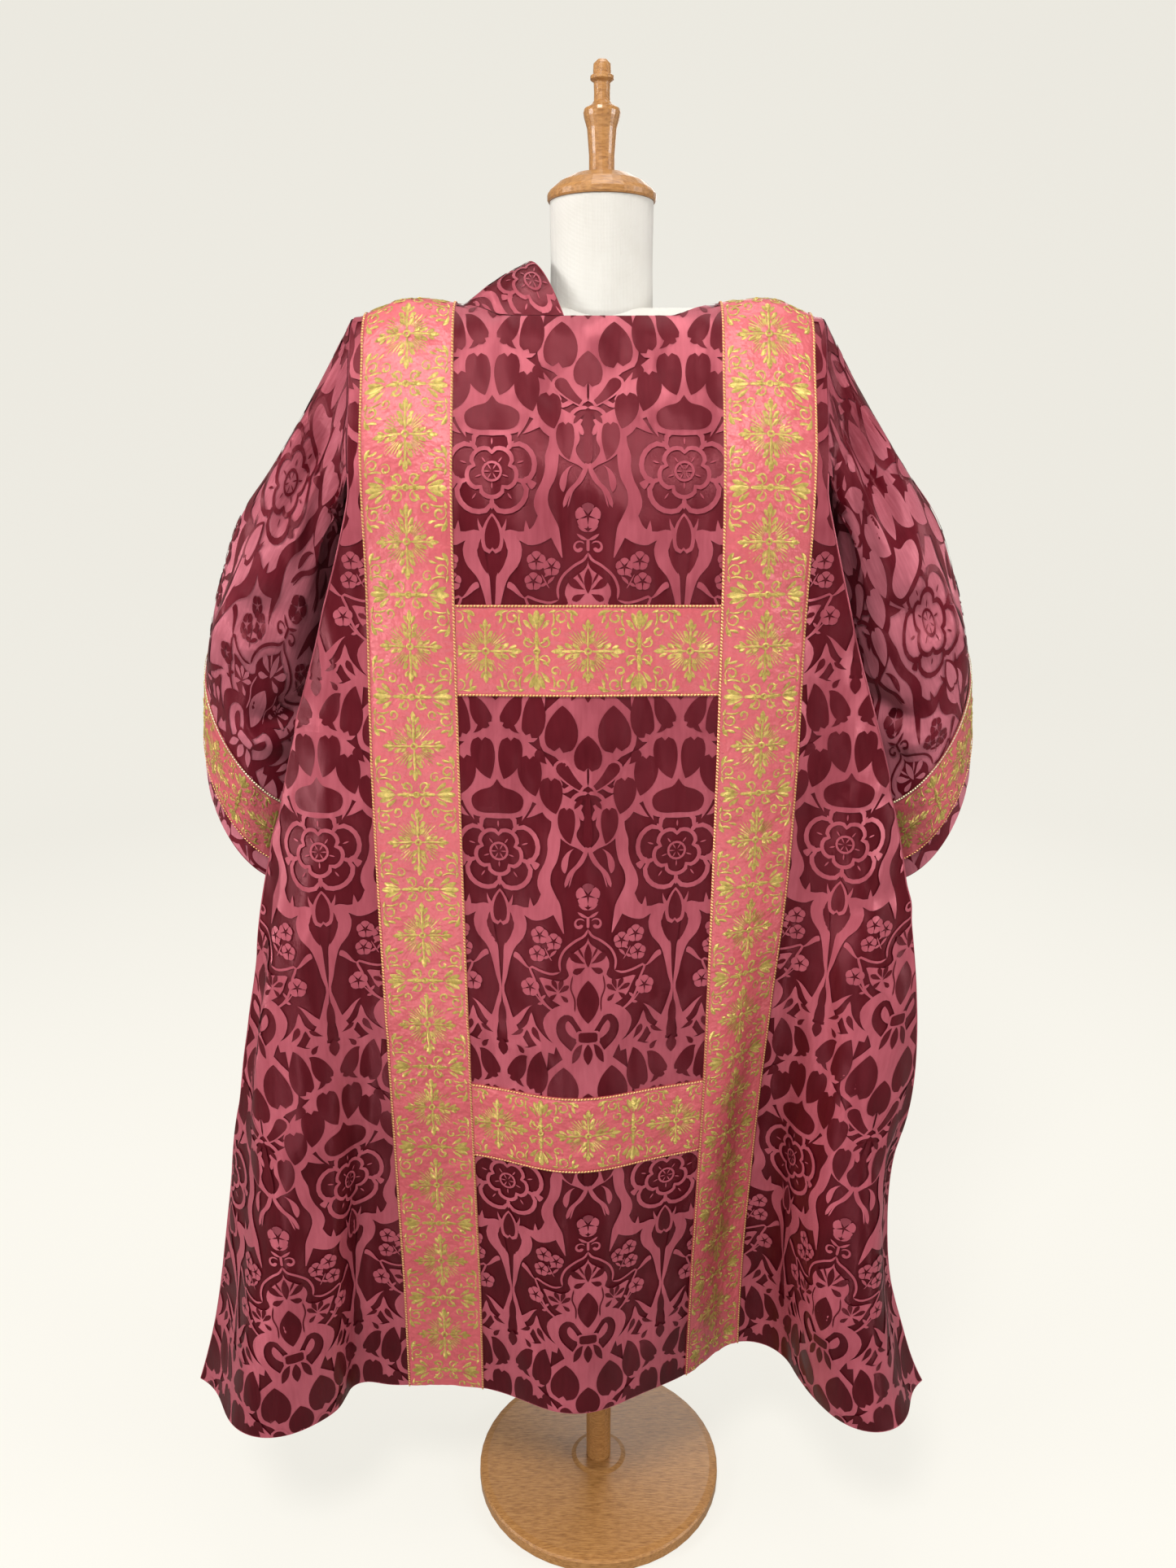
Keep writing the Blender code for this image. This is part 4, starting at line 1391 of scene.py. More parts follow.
class Embroidery:
    """The bands' gold work: a leafy cross with fine rays, then a scrolled bar, once in each cell."""

    rise: float = 0.00065
    rays: int = 9
    fullness: float = 1.22
    layer: float = 0.00006
    curl_layer: float = 0.0001
    ray_layer: float = 0.00012
    boss_layer: float = 0.0003
    knob_layer: float = 0.0004
    arms: tuple = ((0.0, 1.0), (math.pi / 2, 0.88), (math.pi, 1.0), (-math.pi / 2, 0.88))

    def worked(self, strokes: Sequence[Stroke]) -> list[Patch]:
        """Strokes made fuller, in three layers by turns."""
        full = [replace(stroke, width=stroke.width * self.fullness) for stroke in strokes]
        return [p for k, s in enumerate(full) for p in s.patches(self.layer * (1 + k % 3), self.rise)]

    def cross(self) -> Patch:
        """Four arms of leaves round a boss, with fans of fine rays between them."""
        arm = joined(self.worked(CROSS_ARM))
        arms = [arm.moved(np.zeros((1, 2)), turn, grow) for turn, grow in self.arms]
        boss = Ring(0, 0, 2.6, 0, 0.0, 2.6).patches(self.boss_layer, self.rise)
        return joined(arms + boss + self.ray_fans())

    def ray_fans(self) -> list[Patch]:
        """Rays in each quarter: longest on the diagonal, shorter towards the arms."""
        made = []
        for quarter in range(4):
            for k in range(self.rays):
                off = (k - (self.rays - 1) / 2) / ((self.rays - 1) / 2)
                far = 28.0 - 10.0 * abs(off) ** 1.3
                ray = spoke((0, 0), 45 + 90 * quarter + 33 * off, 7.5, far, 1.5, Width.LEAF)
                made += ray.patches(self.ray_layer, steps=4)
        return made

    def bar(self) -> Patch:
        """The scrolled bar, from one quarter turned over both ways, with its knob."""
        strips = self.worked(SCROLL_QUARTER)
        strips += [p for curl in SCROLL_CURLS for p in curl.patches(self.curl_layer, self.rise)]
        quarter = joined(strips)
        half = joined([quarter, quarter.mirrored(1)])
        rings = (Ring(0, 0, 2.4, 0, 0.0, 2.4), Ring(9, 0, 1.3, 0, 0.0, 1.4), Ring(-9, 0, 1.3, 0, 0.0, 1.4))
        knobs = [p for ring in rings for p in ring.patches(self.knob_layer, self.rise)]
        return joined([half, half.mirrored(0)] + knobs)

    def run(self, centre: float, crosses: Array, low: float, high: float) -> Patch:
        """A band's whole run of cells in its own coordinates.

        Args:
            centre: where the band's middle line lies across.
            crosses: where the crosses lie along it.
            low: the lower end, where the work is clipped.
            high: the upper end.

        Returns:
            The run as a patch.
        """
        middle = np.full(len(crosses), centre)
        between = np.concatenate([crosses, [crosses[-1] + CELL]]) - CELL / 2
        at_bars = np.stack([np.full(len(between), centre), between], axis=1)
        at_crosses = np.stack([middle, crosses], axis=1)
        work = joined([self.cross().moved(at_crosses), self.bar().moved(at_bars)])
        work.flat[:, 1] = np.clip(work.flat[:, 1], low, high)
        return work


def pucker(a: Array, b: Array) -> Array:
    """How the band's ground puckers between its stitches: crossed sines of unlike lengths, in metres."""
    wave = np.sin(a * 520 + 1.7 * np.sin(b * 310)) * np.sin(b * 430 + 1.3 * np.sin(a * 270))
    slow = np.sin(a * 170 + b * 90) * np.sin(b * 140 - a * 60 + 0.8)
    return 0.00042 * wave + 0.00055 * slow


def tube(line: Array, radius: float, layer: float, closed: bool = False, sides: int = 6) -> Patch:
    """A cord along a line in flat coordinates.

    Each ring of it lies round the line: across by the sine of the way round, and up by its cosine.

    Args:
        line: count by 2 points, in metres.
        radius: the cord's radius.
        layer: its middle's height.
        closed: whether the last point is the first one.
        sides: corners of a ring.

    Returns:
        The cord as a patch, open-ended.
    """
    side = to_the_side(headings(line, closed))
    round_it = np.linspace(0.0, 2 * math.pi, sides + 1)
    flat = line[:, None] + radius * np.sin(round_it)[None, :, None] * side[:, None]
    height = np.broadcast_to(layer + radius * np.cos(round_it), (len(line), sides + 1))
    along = np.broadcast_to(passed_along(line)[:, None], height.shape)
    around = np.broadcast_to(round_it / (2 * math.pi), height.shape)
    faces = cells(np.arange(height.size).reshape(height.shape))
    thread = np.stack([along.reshape(-1), around.reshape(-1)], axis=1)
    return Patch(flat.reshape(-1, 2), height.reshape(-1).copy(), faces, np.zeros(len(faces), int), thread)


# The garment's pieces


def flat_area(points: Array) -> float:
    """The area of a grid of points: the sum of half the cross product of each cell's diagonals."""
    across, down = points[1:, 1:] - points[:-1, :-1], points[1:, :-1] - points[:-1, 1:]
    return float(np.linalg.norm(np.cross(across, down), axis=-1).sum() / 2)


def write_shell(
    name: str,
    chart: Chart,
    a: Array,
    b: Array,
    top: Array | float,
    under: float,
    finish: bpy.types.Material,
    closed: bool = False,
) -> bpy.types.Object:
    """A thin wall of cloth over a chart.

    Args:
        name: the piece's name.
        chart: the surface it follows.
        a: rows by columns of flat coordinates across.
        b: the same along.
        top: height of its outer side over the chart.
        under: height of its inner side.
        finish: its material.
        closed: whether its last column meets its first.

    Returns:
        The object.
    """
    outer, inner = chart.read(a, b, top), chart.read(a, b, under)
    points, faces = shell(outer, inner, closed)
    corner = points[faces]
    volume = np.einsum("ij,ij->", corner[:, 0], np.cross(corner[:, 1], corner[:, 2]))
    volume += np.einsum("ij,ij->", corner[:, 0], np.cross(corner[:, 2], corner[:, 3]))
    if volume < 0:
        faces = faces[:, ::-1]
    kept = slice(0, a.shape[1] - 1) if closed else slice(0, a.shape[1])
    flat = np.stack([a[:, kept].reshape(-1), b[:, kept].reshape(-1)], axis=1)
    flat = np.concatenate([flat, flat])
    return write_mesh(name, points, faces, [finish], {"Flat": flat}, np.zeros(len(faces), int))


EDGE_INSET = 0.001
NECK_INSET = 0.0012
BAND_INSET = 0.002
EDGE_RADIUS = 0.0009
WORK_LIFT = 0.00006


def rolled_edge(line: Array) -> Patch:
    """The cloth's edge rolled to a fine cord along a line, its middle at the middle of the cloth."""
    return tube(line, EDGE_RADIUS, -CUT.cloth / 2)


@dataclass
class Panel:
    """The back or the front: its cloth, the damask woven in it and its rolled edges.

    rows, middle and wing are how many cells the cloth has down, across its middle and across each side.
    """

    chart: Chart
    back: bool
    rows: int = 220
    middle: int = 80
    wing: int = 50
    pattern_start: float = 0.414
    side_points: int = 260
    hem_points: int = 240

    @property
    def sign(self) -> float:
        """Which way v runs on this panel."""
        return 1.0 if self.back else -1.0

    @property
    def label(self) -> str:
        """The panel's name."""
        return "back" if self.back else "front"

    def grid(self) -> tuple[Array, Array]:
        """u and distance from the ridge of the cloth's points; rows crowd towards it, and sides fan out."""
        near = CUT.armhole_depth * np.linspace(0.0, 1.0, self.rows // 5) ** 1.35
        far = np.linspace(CUT.armhole_depth, CUT.body_length, self.rows - self.rows // 5 + 1)[1:]
        rows = np.maximum(np.concatenate([near, far]), CUT.gap / 2)[:, None]
        share = np.linspace(0.0, 1.0, self.wing + 1)[None, 1:]
        wing = CUT.band_outer + share * (CUT.half_width(rows) - CUT.band_outer)
        middle = np.linspace(-CUT.band_outer, CUT.band_outer, self.middle + 1)
        u = np.hstack([-wing[:, ::-1], np.broadcast_to(middle, (len(rows), self.middle + 1)), wing])
        above = np.clip(1.0 - rows / CUT.armhole_depth, 0.0, 1.0)
        return u, rows + CUT.neck_edge(u, self.back) * above

    def clipped(self, work: Patch) -> Patch:
        """Woven work held inside the panel's edges, with what the bands hide drawn together to nothing."""
        u, s = work.flat[:, 0], work.flat[:, 1]
        s = np.clip(s, CUT.neck_edge(u, self.back) + NECK_INSET, CUT.body_length - EDGE_INSET)
        u = np.clip(u, -CUT.half_width(s) + EDGE_INSET, CUT.half_width(s) - EDGE_INSET)
        low, high = CUT.band_inner + BAND_INSET, CUT.band_outer - BAND_INSET
        beneath = (np.abs(u) > low) & (np.abs(u) < high)
        nearest = np.where(np.abs(u) < (low + high) / 2, low, high)
        u = np.where(beneath, np.sign(u) * nearest, u)
        strip = np.sign(u) * (np.abs(u) > (low + high) / 2)
        corners = strip[work.faces]
        apart = corners.max(axis=1) == corners.min(axis=1)
        flat = np.stack([u, self.sign * s], axis=1)
        return replace(work, flat=flat, faces=work.faces[apart], tone=work.tone[apart])

    def weave(self, repeat: Patch) -> Patch:
        """The repeat laid side by side from the pattern's start, a column on the centre line."""
        columns = np.arange(-3, 4) * REPEAT_WIDTH
        rows = self.pattern_start + np.arange(-2, 3) * REPEAT_HEIGHT
        places = np.stack(np.meshgrid(columns, rows), axis=-1).reshape(-1, 2)
        near = np.abs(places[:, 0]) - REPEAT_WIDTH / 2 < CUT.half_width(places[:, 1] + REPEAT_HEIGHT)
        near &= (places[:, 1] < CUT.body_length) & (places[:, 1] > -REPEAT_HEIGHT - 0.02)
        return self.clipped(repeat.moved(places[near]))

    def edges(self) -> Patch:
        """Rolled edges down both free sides and along the hem."""
        s = np.linspace(CUT.armhole_depth, CUT.body_length, self.side_points)
        sides = [np.stack([side * CUT.half_width(s), self.sign * s], axis=1) for side in (-1.0, 1.0)]
        half = float(CUT.half_width(CUT.body_length))
        across = np.linspace(-half, half, self.hem_points)
        hem = np.stack([across, np.full_like(across, self.sign * CUT.body_length)], axis=1)
        return joined([rolled_edge(line) for line in (*sides, hem)])

    def build(self, finishes: Finishes, repeat: Patch) -> None:
        u, s = self.grid()
        cloth = write_shell(
            f"{self.label}_cloth", self.chart, u, self.sign * s, -CUT.sunk, -CUT.cloth, finishes.ground
        )
        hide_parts(f"{self.label}_panel")
        weave = write_patch(
            f"{self.label}_damask", self.weave(repeat), self.chart, 0.0, [finishes.figure, finishes.ground]
        )
        edge = write_patch(f"{self.label}_rolled_edge", self.edges(), self.chart, 0.0, [finishes.figure])
        flat = np.stack([u, s, np.zeros_like(u)], axis=-1)
        flat_area(flat)


@dataclass
class Band:
    """A straight embroidered band on the panels: its satin, its gold work and the cords along both edges.

    A long band is upright: it runs along v between u0 and u1. A crossbar runs along u. crosses are where
    the embroidered crosses lie along it, and step is the size of the satin's cells.
    """

    name: str
    chart: Chart
    u0: float
    u1: float
    v0: float
    v1: float
    upright: bool
    crosses: tuple[float, ...]
    step: float = 0.0050
    cord_radius: float = 0.0012
    cord_inset: float = 0.0012
    cord_lift: float = 0.0002
    cord_points: tuple[int, int] = (80, 700)

    @property
    def top(self) -> float:
        """Height of the satin over the cloth."""
        return CUT.gap + CUT.band

    def grid(self) -> tuple[Array, Array]:
        """u and v of the satin's points."""
        across = int(abs(self.u1 - self.u0) / self.step)
        along = int(abs(self.v1 - self.v0) / self.step)
        u, v = np.linspace(self.u0, self.u1, across + 1), np.linspace(self.v0, self.v1, along + 1)
        return np.meshgrid(u, v)

    def height(self, u: Array, v: Array) -> Array:
        """The satin's top: puckered in the middle and turned under at its edges."""
        half = (abs(self.u1 - self.u0) if self.upright else abs(self.v1 - self.v0)) / 2
        across = u - (self.u0 + self.u1) / 2 if self.upright else v - (self.v0 + self.v1) / 2
        edge = np.clip(np.abs(across) / half, 0.0, 1.0) ** 10
        return self.top + (pucker(u, v) + 0.0003) * (1 - edge) - 0.0007 * edge

    def work(self, embroidery: Embroidery) -> Patch:
        """The gold work, its cells counted from the given crosses."""
        low, high = sorted((self.v0, self.v1) if self.upright else (self.u0, self.u1))
        centre = (self.u0 + self.u1) / 2 if self.upright else 0.0
        made = embroidery.run(centre, np.array(self.crosses), low + BAND_INSET, high - BAND_INSET)
        if self.upright:
            return made
        made.flat = np.stack([made.flat[:, 1], (self.v0 + self.v1) / 2 - made.flat[:, 0]], axis=1)
        return made

    def cords(self) -> Patch:
        """A twisted cord along each long edge."""
        if self.upright:
            v = np.linspace(self.v0, self.v1, self.cord_points[1])
            lines = [np.stack([np.full_like(v, u), v], axis=1) for u in (self.u0, self.u1)]
        else:
            u = np.linspace(self.u0, self.u1, self.cord_points[0])
            lines = [np.stack([u, np.full_like(u, v)], axis=1) for v in (self.v0, self.v1)]
        middle = np.array([(self.u0 + self.u1) / 2, (self.v0 + self.v1) / 2])
        axis = 0 if self.upright else 1
        for line in lines:
            line[:, axis] += self.cord_inset * np.sign(middle[axis] - line[:, axis])
        return joined([tube(line, self.cord_radius, self.top + self.cord_lift) for line in lines])

    def build(self, finishes: Finishes, embroidery: Embroidery) -> None:
        u, v = self.grid()
        top = self.height(u, v)
        satin = write_shell(f"{self.name}_satin", self.chart, u, v, top, CUT.gap, finishes.coral)
        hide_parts(self.name)
        work = self.work(embroidery)
        ground = self.height(work.flat[:, 0], work.flat[:, 1]) + WORK_LIFT
        gold = write_patch(f"{self.name}_gold_work", work, self.chart, ground, [finishes.gold])
        cords = write_patch(f"{self.name}_cords", self.cords(), self.chart, 0.0, [finishes.cord])
        size = sorted((abs(self.u1 - self.u0), abs(self.v1 - self.v0)))
        panel = "front" if self.v0 < 0 and self.v1 < 0 else "back"


SLEEVE_SECTIONS = {
    "t": (0.00, 0.18, 0.36, 0.56, 0.78, 1.00),
    "arm_x": (-0.2365, -0.274, -0.327, -0.380, -0.408, -0.425),
    "arm_y": (0.006, 0.002, 0.002, 0.021, 0.082, 0.146),
    "arm_z": (1.443, 1.372, 1.285, 1.190, 1.105, 1.030),
    "under_x": (-0.2365, -0.252, -0.275, -0.300, -0.322, -0.345),
    "under_y": (0.015, 0.022, 0.026, 0.032, 0.036, 0.046),
    "under_z": (1.265, 1.200, 1.108, 1.005, 0.902, 0.822),
    "out": (0.104, 0.092, 0.086, 0.084, 0.084, 0.084),
    "turn": (0.0, 8.0, 16.0, 24.0, 30.0, 35.0),
}
SEAM_TURN = 2 * math.pi * 10 / 28
SEAM_LEFT_AT = 0.42
UNDER_ARM_DROP = 0.030
BAND_RINGS = (0.745, 0.930)
SLEEVE_GIRTH = 0.640
SLEEVE_LENGTH = 0.470
SLEEVE_INSET = 0.0005
SLEEVE_TOP_INSET = 0.0015
ROUND_POINTS = 260
SLEEVE_CREASES = (
    Crease(0.442, 0.085, 80.0, 0.170, 0.015, -0.0115),
    Crease(0.478, 0.090, 76.0, 0.170, 0.013, 0.0070),
    Crease(0.515, 0.045, 55.0, 0.200, 0.013, -0.0125),
    Crease(0.395, 0.110, 84.0, 0.200, 0.018, 0.0060),
    Crease(0.486, 0.202, -34.0, 0.140, 0.014, -0.0125),
    Crease(0.480, 0.234, -30.0, 0.150, 0.015, 0.0080),
    Crease(0.551, 0.268, -34.0, 0.120, 0.012, -0.0140),
    Crease(0.540, 0.300, -26.0, 0.130, 0.013, 0.0080),
    Crease(0.590, 0.235, -20.0, 0.110, 0.013, -0.0090),
    Crease(0.400, 0.250, 94.0, 0.200, 0.018, -0.0050),
    Crease(0.430, 0.265, 84.0, 0.190, 0.018, 0.0060),
    Crease(0.350, 0.200, 6.0, 0.170, 0.034, 0.0070),
    Crease(0.350, 0.290, 84.0, 0.240, 0.020, -0.0040),
    Crease(0.150, 0.200, 80.0, 0.240, 0.020, 0.0060),
    Crease(0.100, 0.280, 20.0, 0.180, 0.014, -0.0080),
)


def curve_through(t: Array, knots: Sequence[float], values: Sequence[float]) -> Array:
    """A smooth curve through the values at the knots, with slopes taken from their neighbours."""
    knots, values = np.asarray(knots, float), np.asarray(values, float)
    slopes = np.gradient(values, knots)
    i = np.clip(np.searchsorted(knots, t, side="right") - 1, 0, len(knots) - 2)
    gap = knots[i + 1] - knots[i]
    x = (t - knots[i]) / gap
    return (
        values[i] * (1 + 2 * x) * (1 - x) ** 2
        + slopes[i] * gap * x * (1 - x) ** 2
        + values[i + 1] * x * x * (3 - 2 * x)
        + slopes[i + 1] * gap * x * x * (x - 1)
    )


@dataclass
class Sleeve:
    """One sleeve with its cloth, damask, band, gold work and cords.

    mirror is -1 on the left. pattern_across and pattern_along are where a repeat starts, left and right.
    """

    body: Chart
    mirror: float
    pattern_across: tuple[float, float] = (0.507, 0.358)
    pattern_along: tuple[float, float] = (-0.046, 0.058)
    narrowed: float = 0.95
    cord_radius: float = 0.0013

    def ring(self, t: Array, turn: Array) -> Array:
        """A point of the sections: between the arm's line and the under line, swung out to both sides."""
        knots = SLEEVE_SECTIONS["t"]
        row = {key: curve_through(t, knots, values) for key, values in SLEEVE_SECTIONS.items()}
        arm = np.stack([row["arm_x"], row["arm_y"], row["arm_z"]], axis=-1)
        under = np.stack([row["under_x"], row["under_y"], row["under_z"]], axis=-1)
        facing = np.radians(row["turn"])
        broad = np.stack([-np.sin(facing), -np.cos(facing), np.zeros_like(facing)], axis=-1)
        points = (arm + under) / 2 + np.cos(turn)[..., None] * (arm - under) / 2
        points = points + (row["out"] * np.sin(turn))[..., None] * broad
        points[..., 0] *= -self.mirror
        return points + np.array(CUT.axis)

    def armhole(self, turn: Array) -> Array:
        """The armhole seam: over the ridge and down both panels' edges, bridged under the arm."""
        back = turn <= math.pi
        from_top = np.where(back, turn, 2 * math.pi - turn)
        share = np.clip(from_top / SEAM_TURN, 0.0, 1.0)
        v = np.where(back, 1.0, -1.0) * CUT.armhole_depth * share**1.35
        edge = self.mirror * CUT.seam_u
        seam = self.body.read(np.full_like(v, edge), v)
        lowest = (np.array([CUT.armhole_depth]), np.array([-CUT.armhole_depth]))
        ends = [self.body.read(np.array([edge]), along)[0] for along in lowest]
        under = np.clip((turn - SEAM_TURN) / (2 * math.pi - 2 * SEAM_TURN), 0.0, 1.0)[..., None]
        bridge = ends[0] * (1 - under) + ends[1] * under
        bridge[..., 2] -= UNDER_ARM_DROP * np.sin(math.pi * under[..., 0])
        return np.where((from_top <= SEAM_TURN + 1e-6)[..., None], seam, bridge)

    def surface(self, t: Array, turn: Array) -> Array:
        """The sleeve leaves the armhole seam and takes up its own sections."""
        turn = np.mod(turn, 2 * math.pi)
        leave = (1.0 - smooth(t / SEAM_LEFT_AT))[..., None]
        start = self.armhole(turn) - self.ring(np.zeros_like(t), turn)
        start[..., 0] += self.mirror * CUT.gap
        return self.ring(t, turn) + leave * start

    def chart(self) -> tuple[Chart, Array]:
        """The sleeve over flat coordinates: the way round from the seam under the arm, and the way along.

        Each ring is read at even shares of its own girth. The creases then move it along its normals.

        Returns:
            The chart, and the true girth at each of its rows.
        """
        t = np.linspace(0.0, 1.0, 161)
        turn = math.pi + np.linspace(0.0, 2 * math.pi, 721)
        rings = self.surface(*np.meshgrid(t, turn, indexing="ij"))
        step = np.linalg.norm(np.diff(rings, axis=1), axis=-1)
        share = np.concatenate([np.zeros((len(t), 1)), np.cumsum(step, axis=1)], axis=1)
        girth = share[:, -1].copy()
        share /= share[:, -1:]
        even = np.linspace(0.0, 1.0, 257)
        turns = np.stack([np.interp(even, row, turn) for row in share])
        points = self.surface(np.broadcast_to(t[:, None], turns.shape), turns)
        a, b = even * SLEEVE_GIRTH, t * SLEEVE_LENGTH
        outward = -self.mirror
        smooth_chart = Chart(a, b, points, outward)
        fade = smooth(t / 0.10)[:, None]
        wrap = smooth(np.minimum(even, 1 - even) / 0.06)[None, :]
        depth = creased(a[None, :], b[:, None], SLEEVE_CREASES) * fade * wrap
        return Chart(a, b, points + depth[..., None] * smooth_chart.normals, outward), girth

    def build(self, finishes: Finishes, repeat: Patch, embroidery: Embroidery) -> None:
        """Makes every piece of the sleeve: its cloth, damask, cuff edge and band."""
        side = "left" if self.mirror < 0 else "right"
        chart, girth = self.chart()
        a, b = np.meshgrid(np.linspace(0, SLEEVE_GIRTH, 121), np.linspace(0, SLEEVE_LENGTH, 96))
        # The sleeve's cloths are the lighter copies, painted light for the light on the sleeves.
        finish = finishes.sleeve_figure
        cloth = write_shell(
            f"sleeve_{side}_cloth", chart, a, b, -CUT.sunk, -CUT.cloth, finish, closed=True
        )
        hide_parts(f"sleeve_{side}")
        low, high = (ring * SLEEVE_LENGTH for ring in BAND_RINGS)
        work = self.weave(chart, girth, repeat, low, high)
        both = [finishes.sleeve_ground, finishes.sleeve_figure]
        weave = write_patch(f"sleeve_{side}_damask", work, chart, 0.0, both)
        round_it = np.linspace(0.0, SLEEVE_GIRTH, ROUND_POINTS)
        cuff = rolled_edge(np.stack([round_it, np.full_like(round_it, SLEEVE_LENGTH)], axis=1))
        edge = write_patch(f"sleeve_{side}_rolled_edge", cuff, chart, 0.0, [finishes.figure])
        flat_area(chart.points)
        self.band(side, chart, low, high, finishes, embroidery)

    def weave(self, chart: Chart, girth: Array, repeat: Patch, low: float, high: float) -> Patch:
        """The repeat laid round the sleeve at its true width, with what the band hides drawn to nothing.

        Args:
            chart: the sleeve's surface.
            girth: the true girth at each of its rows.
            repeat: one repeat of the damask.
            low: where the band starts along the sleeve.
            high: where it ends.

        Returns:
            The woven work in the chart's coordinates.
        """
        columns = self.pattern_across[int(self.mirror > 0)] + np.arange(-4, 4) * REPEAT_WIDTH
        rows = self.pattern_along[int(self.mirror > 0)] + np.arange(-2, 3) * REPEAT_HEIGHT
        work = repeat.moved(np.stack(np.meshgrid(columns, rows), axis=-1).reshape(-1, 2))
        along = np.clip(work.flat[:, 1], SLEEVE_TOP_INSET, SLEEVE_LENGTH - EDGE_INSET)
        middle = (low + high) / 2
        first, last = low + BAND_INSET, high - BAND_INSET
        beneath = (along > first) & (along < last)
        along = np.where(beneath, np.where(along < middle, first, last), along)
        past = (along > middle)[work.faces]
        apart = past.all(axis=1) | ~past.any(axis=1)
        arm = SLEEVE_GIRTH / 2
        across = arm + (work.flat[:, 0] - arm) * SLEEVE_GIRTH / np.interp(along, chart.b, girth)
        across = np.clip(across, SLEEVE_INSET, SLEEVE_GIRTH - SLEEVE_INSET)
        flat = np.stack([across, along], axis=1)
        return replace(work, flat=flat, faces=work.faces[apart], tone=work.tone[apart])

    def band(
        self, side: str, chart: Chart, low: float, high: float, finishes: Finishes, embroidery: Embroidery
    ) -> None:
        """The band round the sleeve: satin, gold work, a pale cord above and a gold one below."""
        top = CUT.gap + CUT.band
        a, b = np.meshgrid(np.linspace(0, SLEEVE_GIRTH, 161), np.linspace(low, high, 22))
        height = top + pucker(a, b)
        satin = write_shell(
            f"sleeve_band_{side}_satin", chart, a, b, height, CUT.gap, finishes.coral, closed=True
        )
        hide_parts(f"sleeve_band_{side}")
        count = round(SLEEVE_GIRTH / CELL)
        pitch = SLEEVE_GIRTH / count
        work = embroidery.run(0.0, (np.arange(count) + 0.5) * CELL, 0.0, count * CELL)
        along = (low + high) / 2 - work.flat[:, 0] * self.narrowed
        work.flat = np.stack([work.flat[:, 1] * pitch / CELL, along], axis=1)
        ground = top + pucker(work.flat[:, 0], work.flat[:, 1]) + WORK_LIFT
        gold = write_patch(f"sleeve_band_{side}_gold_work", work, chart, ground, [finishes.gold])
        round_it = np.linspace(0.0, SLEEVE_GIRTH, ROUND_POINTS)
        for label, level, finish in (("upper", low, finishes.pale_cord), ("lower", high, finishes.cord)):
            cord = tube(np.stack([round_it, np.full_like(round_it, level)], axis=1), self.cord_radius, top)
            write_patch(f"sleeve_band_{side}_{label}_cord", cord, chart, 0.0, [finish])
        high - low
        min(flat_area(chart.read(a, b)), (high - low) * SLEEVE_GIRTH)


@dataclass
class NeckFlap:
    """The fastening flap that joins both necklines on one side and climbs against the neck."""

    body: Chart
    climb: float = 0.050
    lean: float = 0.020
    from_band: float = 0.007
    width: float = 0.112
    length: float = 0.150
    cut_width: float = 0.125
    sunk: float = 0.0004
    edge_points: int = 90
    pattern: Points = ((0.09, -0.16), (-0.098, -0.16))
    pattern_turn: float = 0.5

    def chart(self) -> Chart:
        """From the band inwards, and from the back neckline to the front one, arched up between them."""
        share, over = np.meshgrid(np.linspace(0.0, 1.0, 61), np.linspace(0.0, 1.0, 81))
        outer = -CUT.band_inner + self.from_band
        back_u = outer + (-CUT.flap_back_end - outer) * share
        front_u = outer + (-CUT.flap_front_end - outer) * share
        u = back_u * (1 - over) + front_u * over
        v = CUT.neck_edge(back_u, True) * (1 - over) - CUT.neck_edge(front_u, False) * over
        points = self.body.read(u, v)
        arch = np.sin(math.pi * over)
        points[..., 0] -= self.lean * share * arch
        points[..., 2] += self.climb * share * arch
        return Chart(share[0] * self.width, over[:, 0] * self.length, points, -1.0)

    def build(self, finishes: Finishes, repeat: Patch) -> None:
        chart = self.chart()
        a, b = np.meshgrid(chart.a[::2], chart.b[::2])
        cloth = write_shell("neck_flap_cloth", chart, a, b, -self.sunk, -CUT.cloth, finishes.ground)
        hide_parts("neck_flap")
        work = repeat.moved(np.array(self.pattern), self.pattern_turn)
        far = [chart.a[-1] - EDGE_INSET, chart.b[-1] - EDGE_INSET]
        work.flat = np.clip(work.flat, [EDGE_INSET, EDGE_INSET], far)
        weave = write_patch("neck_flap_damask", work, chart, 0.0, [finishes.figure, finishes.ground])
        over = np.linspace(0.0, chart.b[-1], self.edge_points)
        line = np.stack([np.full_like(over, chart.a[-1]), over], axis=1)
        edge = write_patch("neck_flap_rolled_edge", rolled_edge(line), chart, 0.0, [finishes.figure])
        area = flat_area(chart.points)
        max(self.length, area / self.cut_width)


# The dress form and its stand


class DressForm:
    """The limbless torso with its neck, wooden cap, finial, pole and base."""

    wooden = ("neck_cap", "finial", "pole", "base")

    def build(self, finishes: Finishes) -> None:
        """Keeps the form's solids and gives them their cloth and varnish."""
        self.dress("form_torso", finishes.jersey, "jersey")
        for name in self.wooden:
            self.dress(name, finishes.oak, "oak")

    def dress(self, name: str, finish: bpy.types.Material, slot: str) -> None:
        """Gives a solid of the frame its finish."""
        node = bpy.data.objects[name]
        node.data.materials.clear()
        node.data.materials.append(finish)
        LOG.info("%s keeps its solid, in %s", name, slot)


# The studio


@dataclass(frozen=True)
class Lamp:
    """A soft rectangular light: where it stands, what it points at, its size, power and warmth."""

    name: str
    place: tuple[float, float, float]
    target: tuple[float, float, float]
    size: float
    power: float
    colour: Colour = (1.0, 1.0, 1.0)


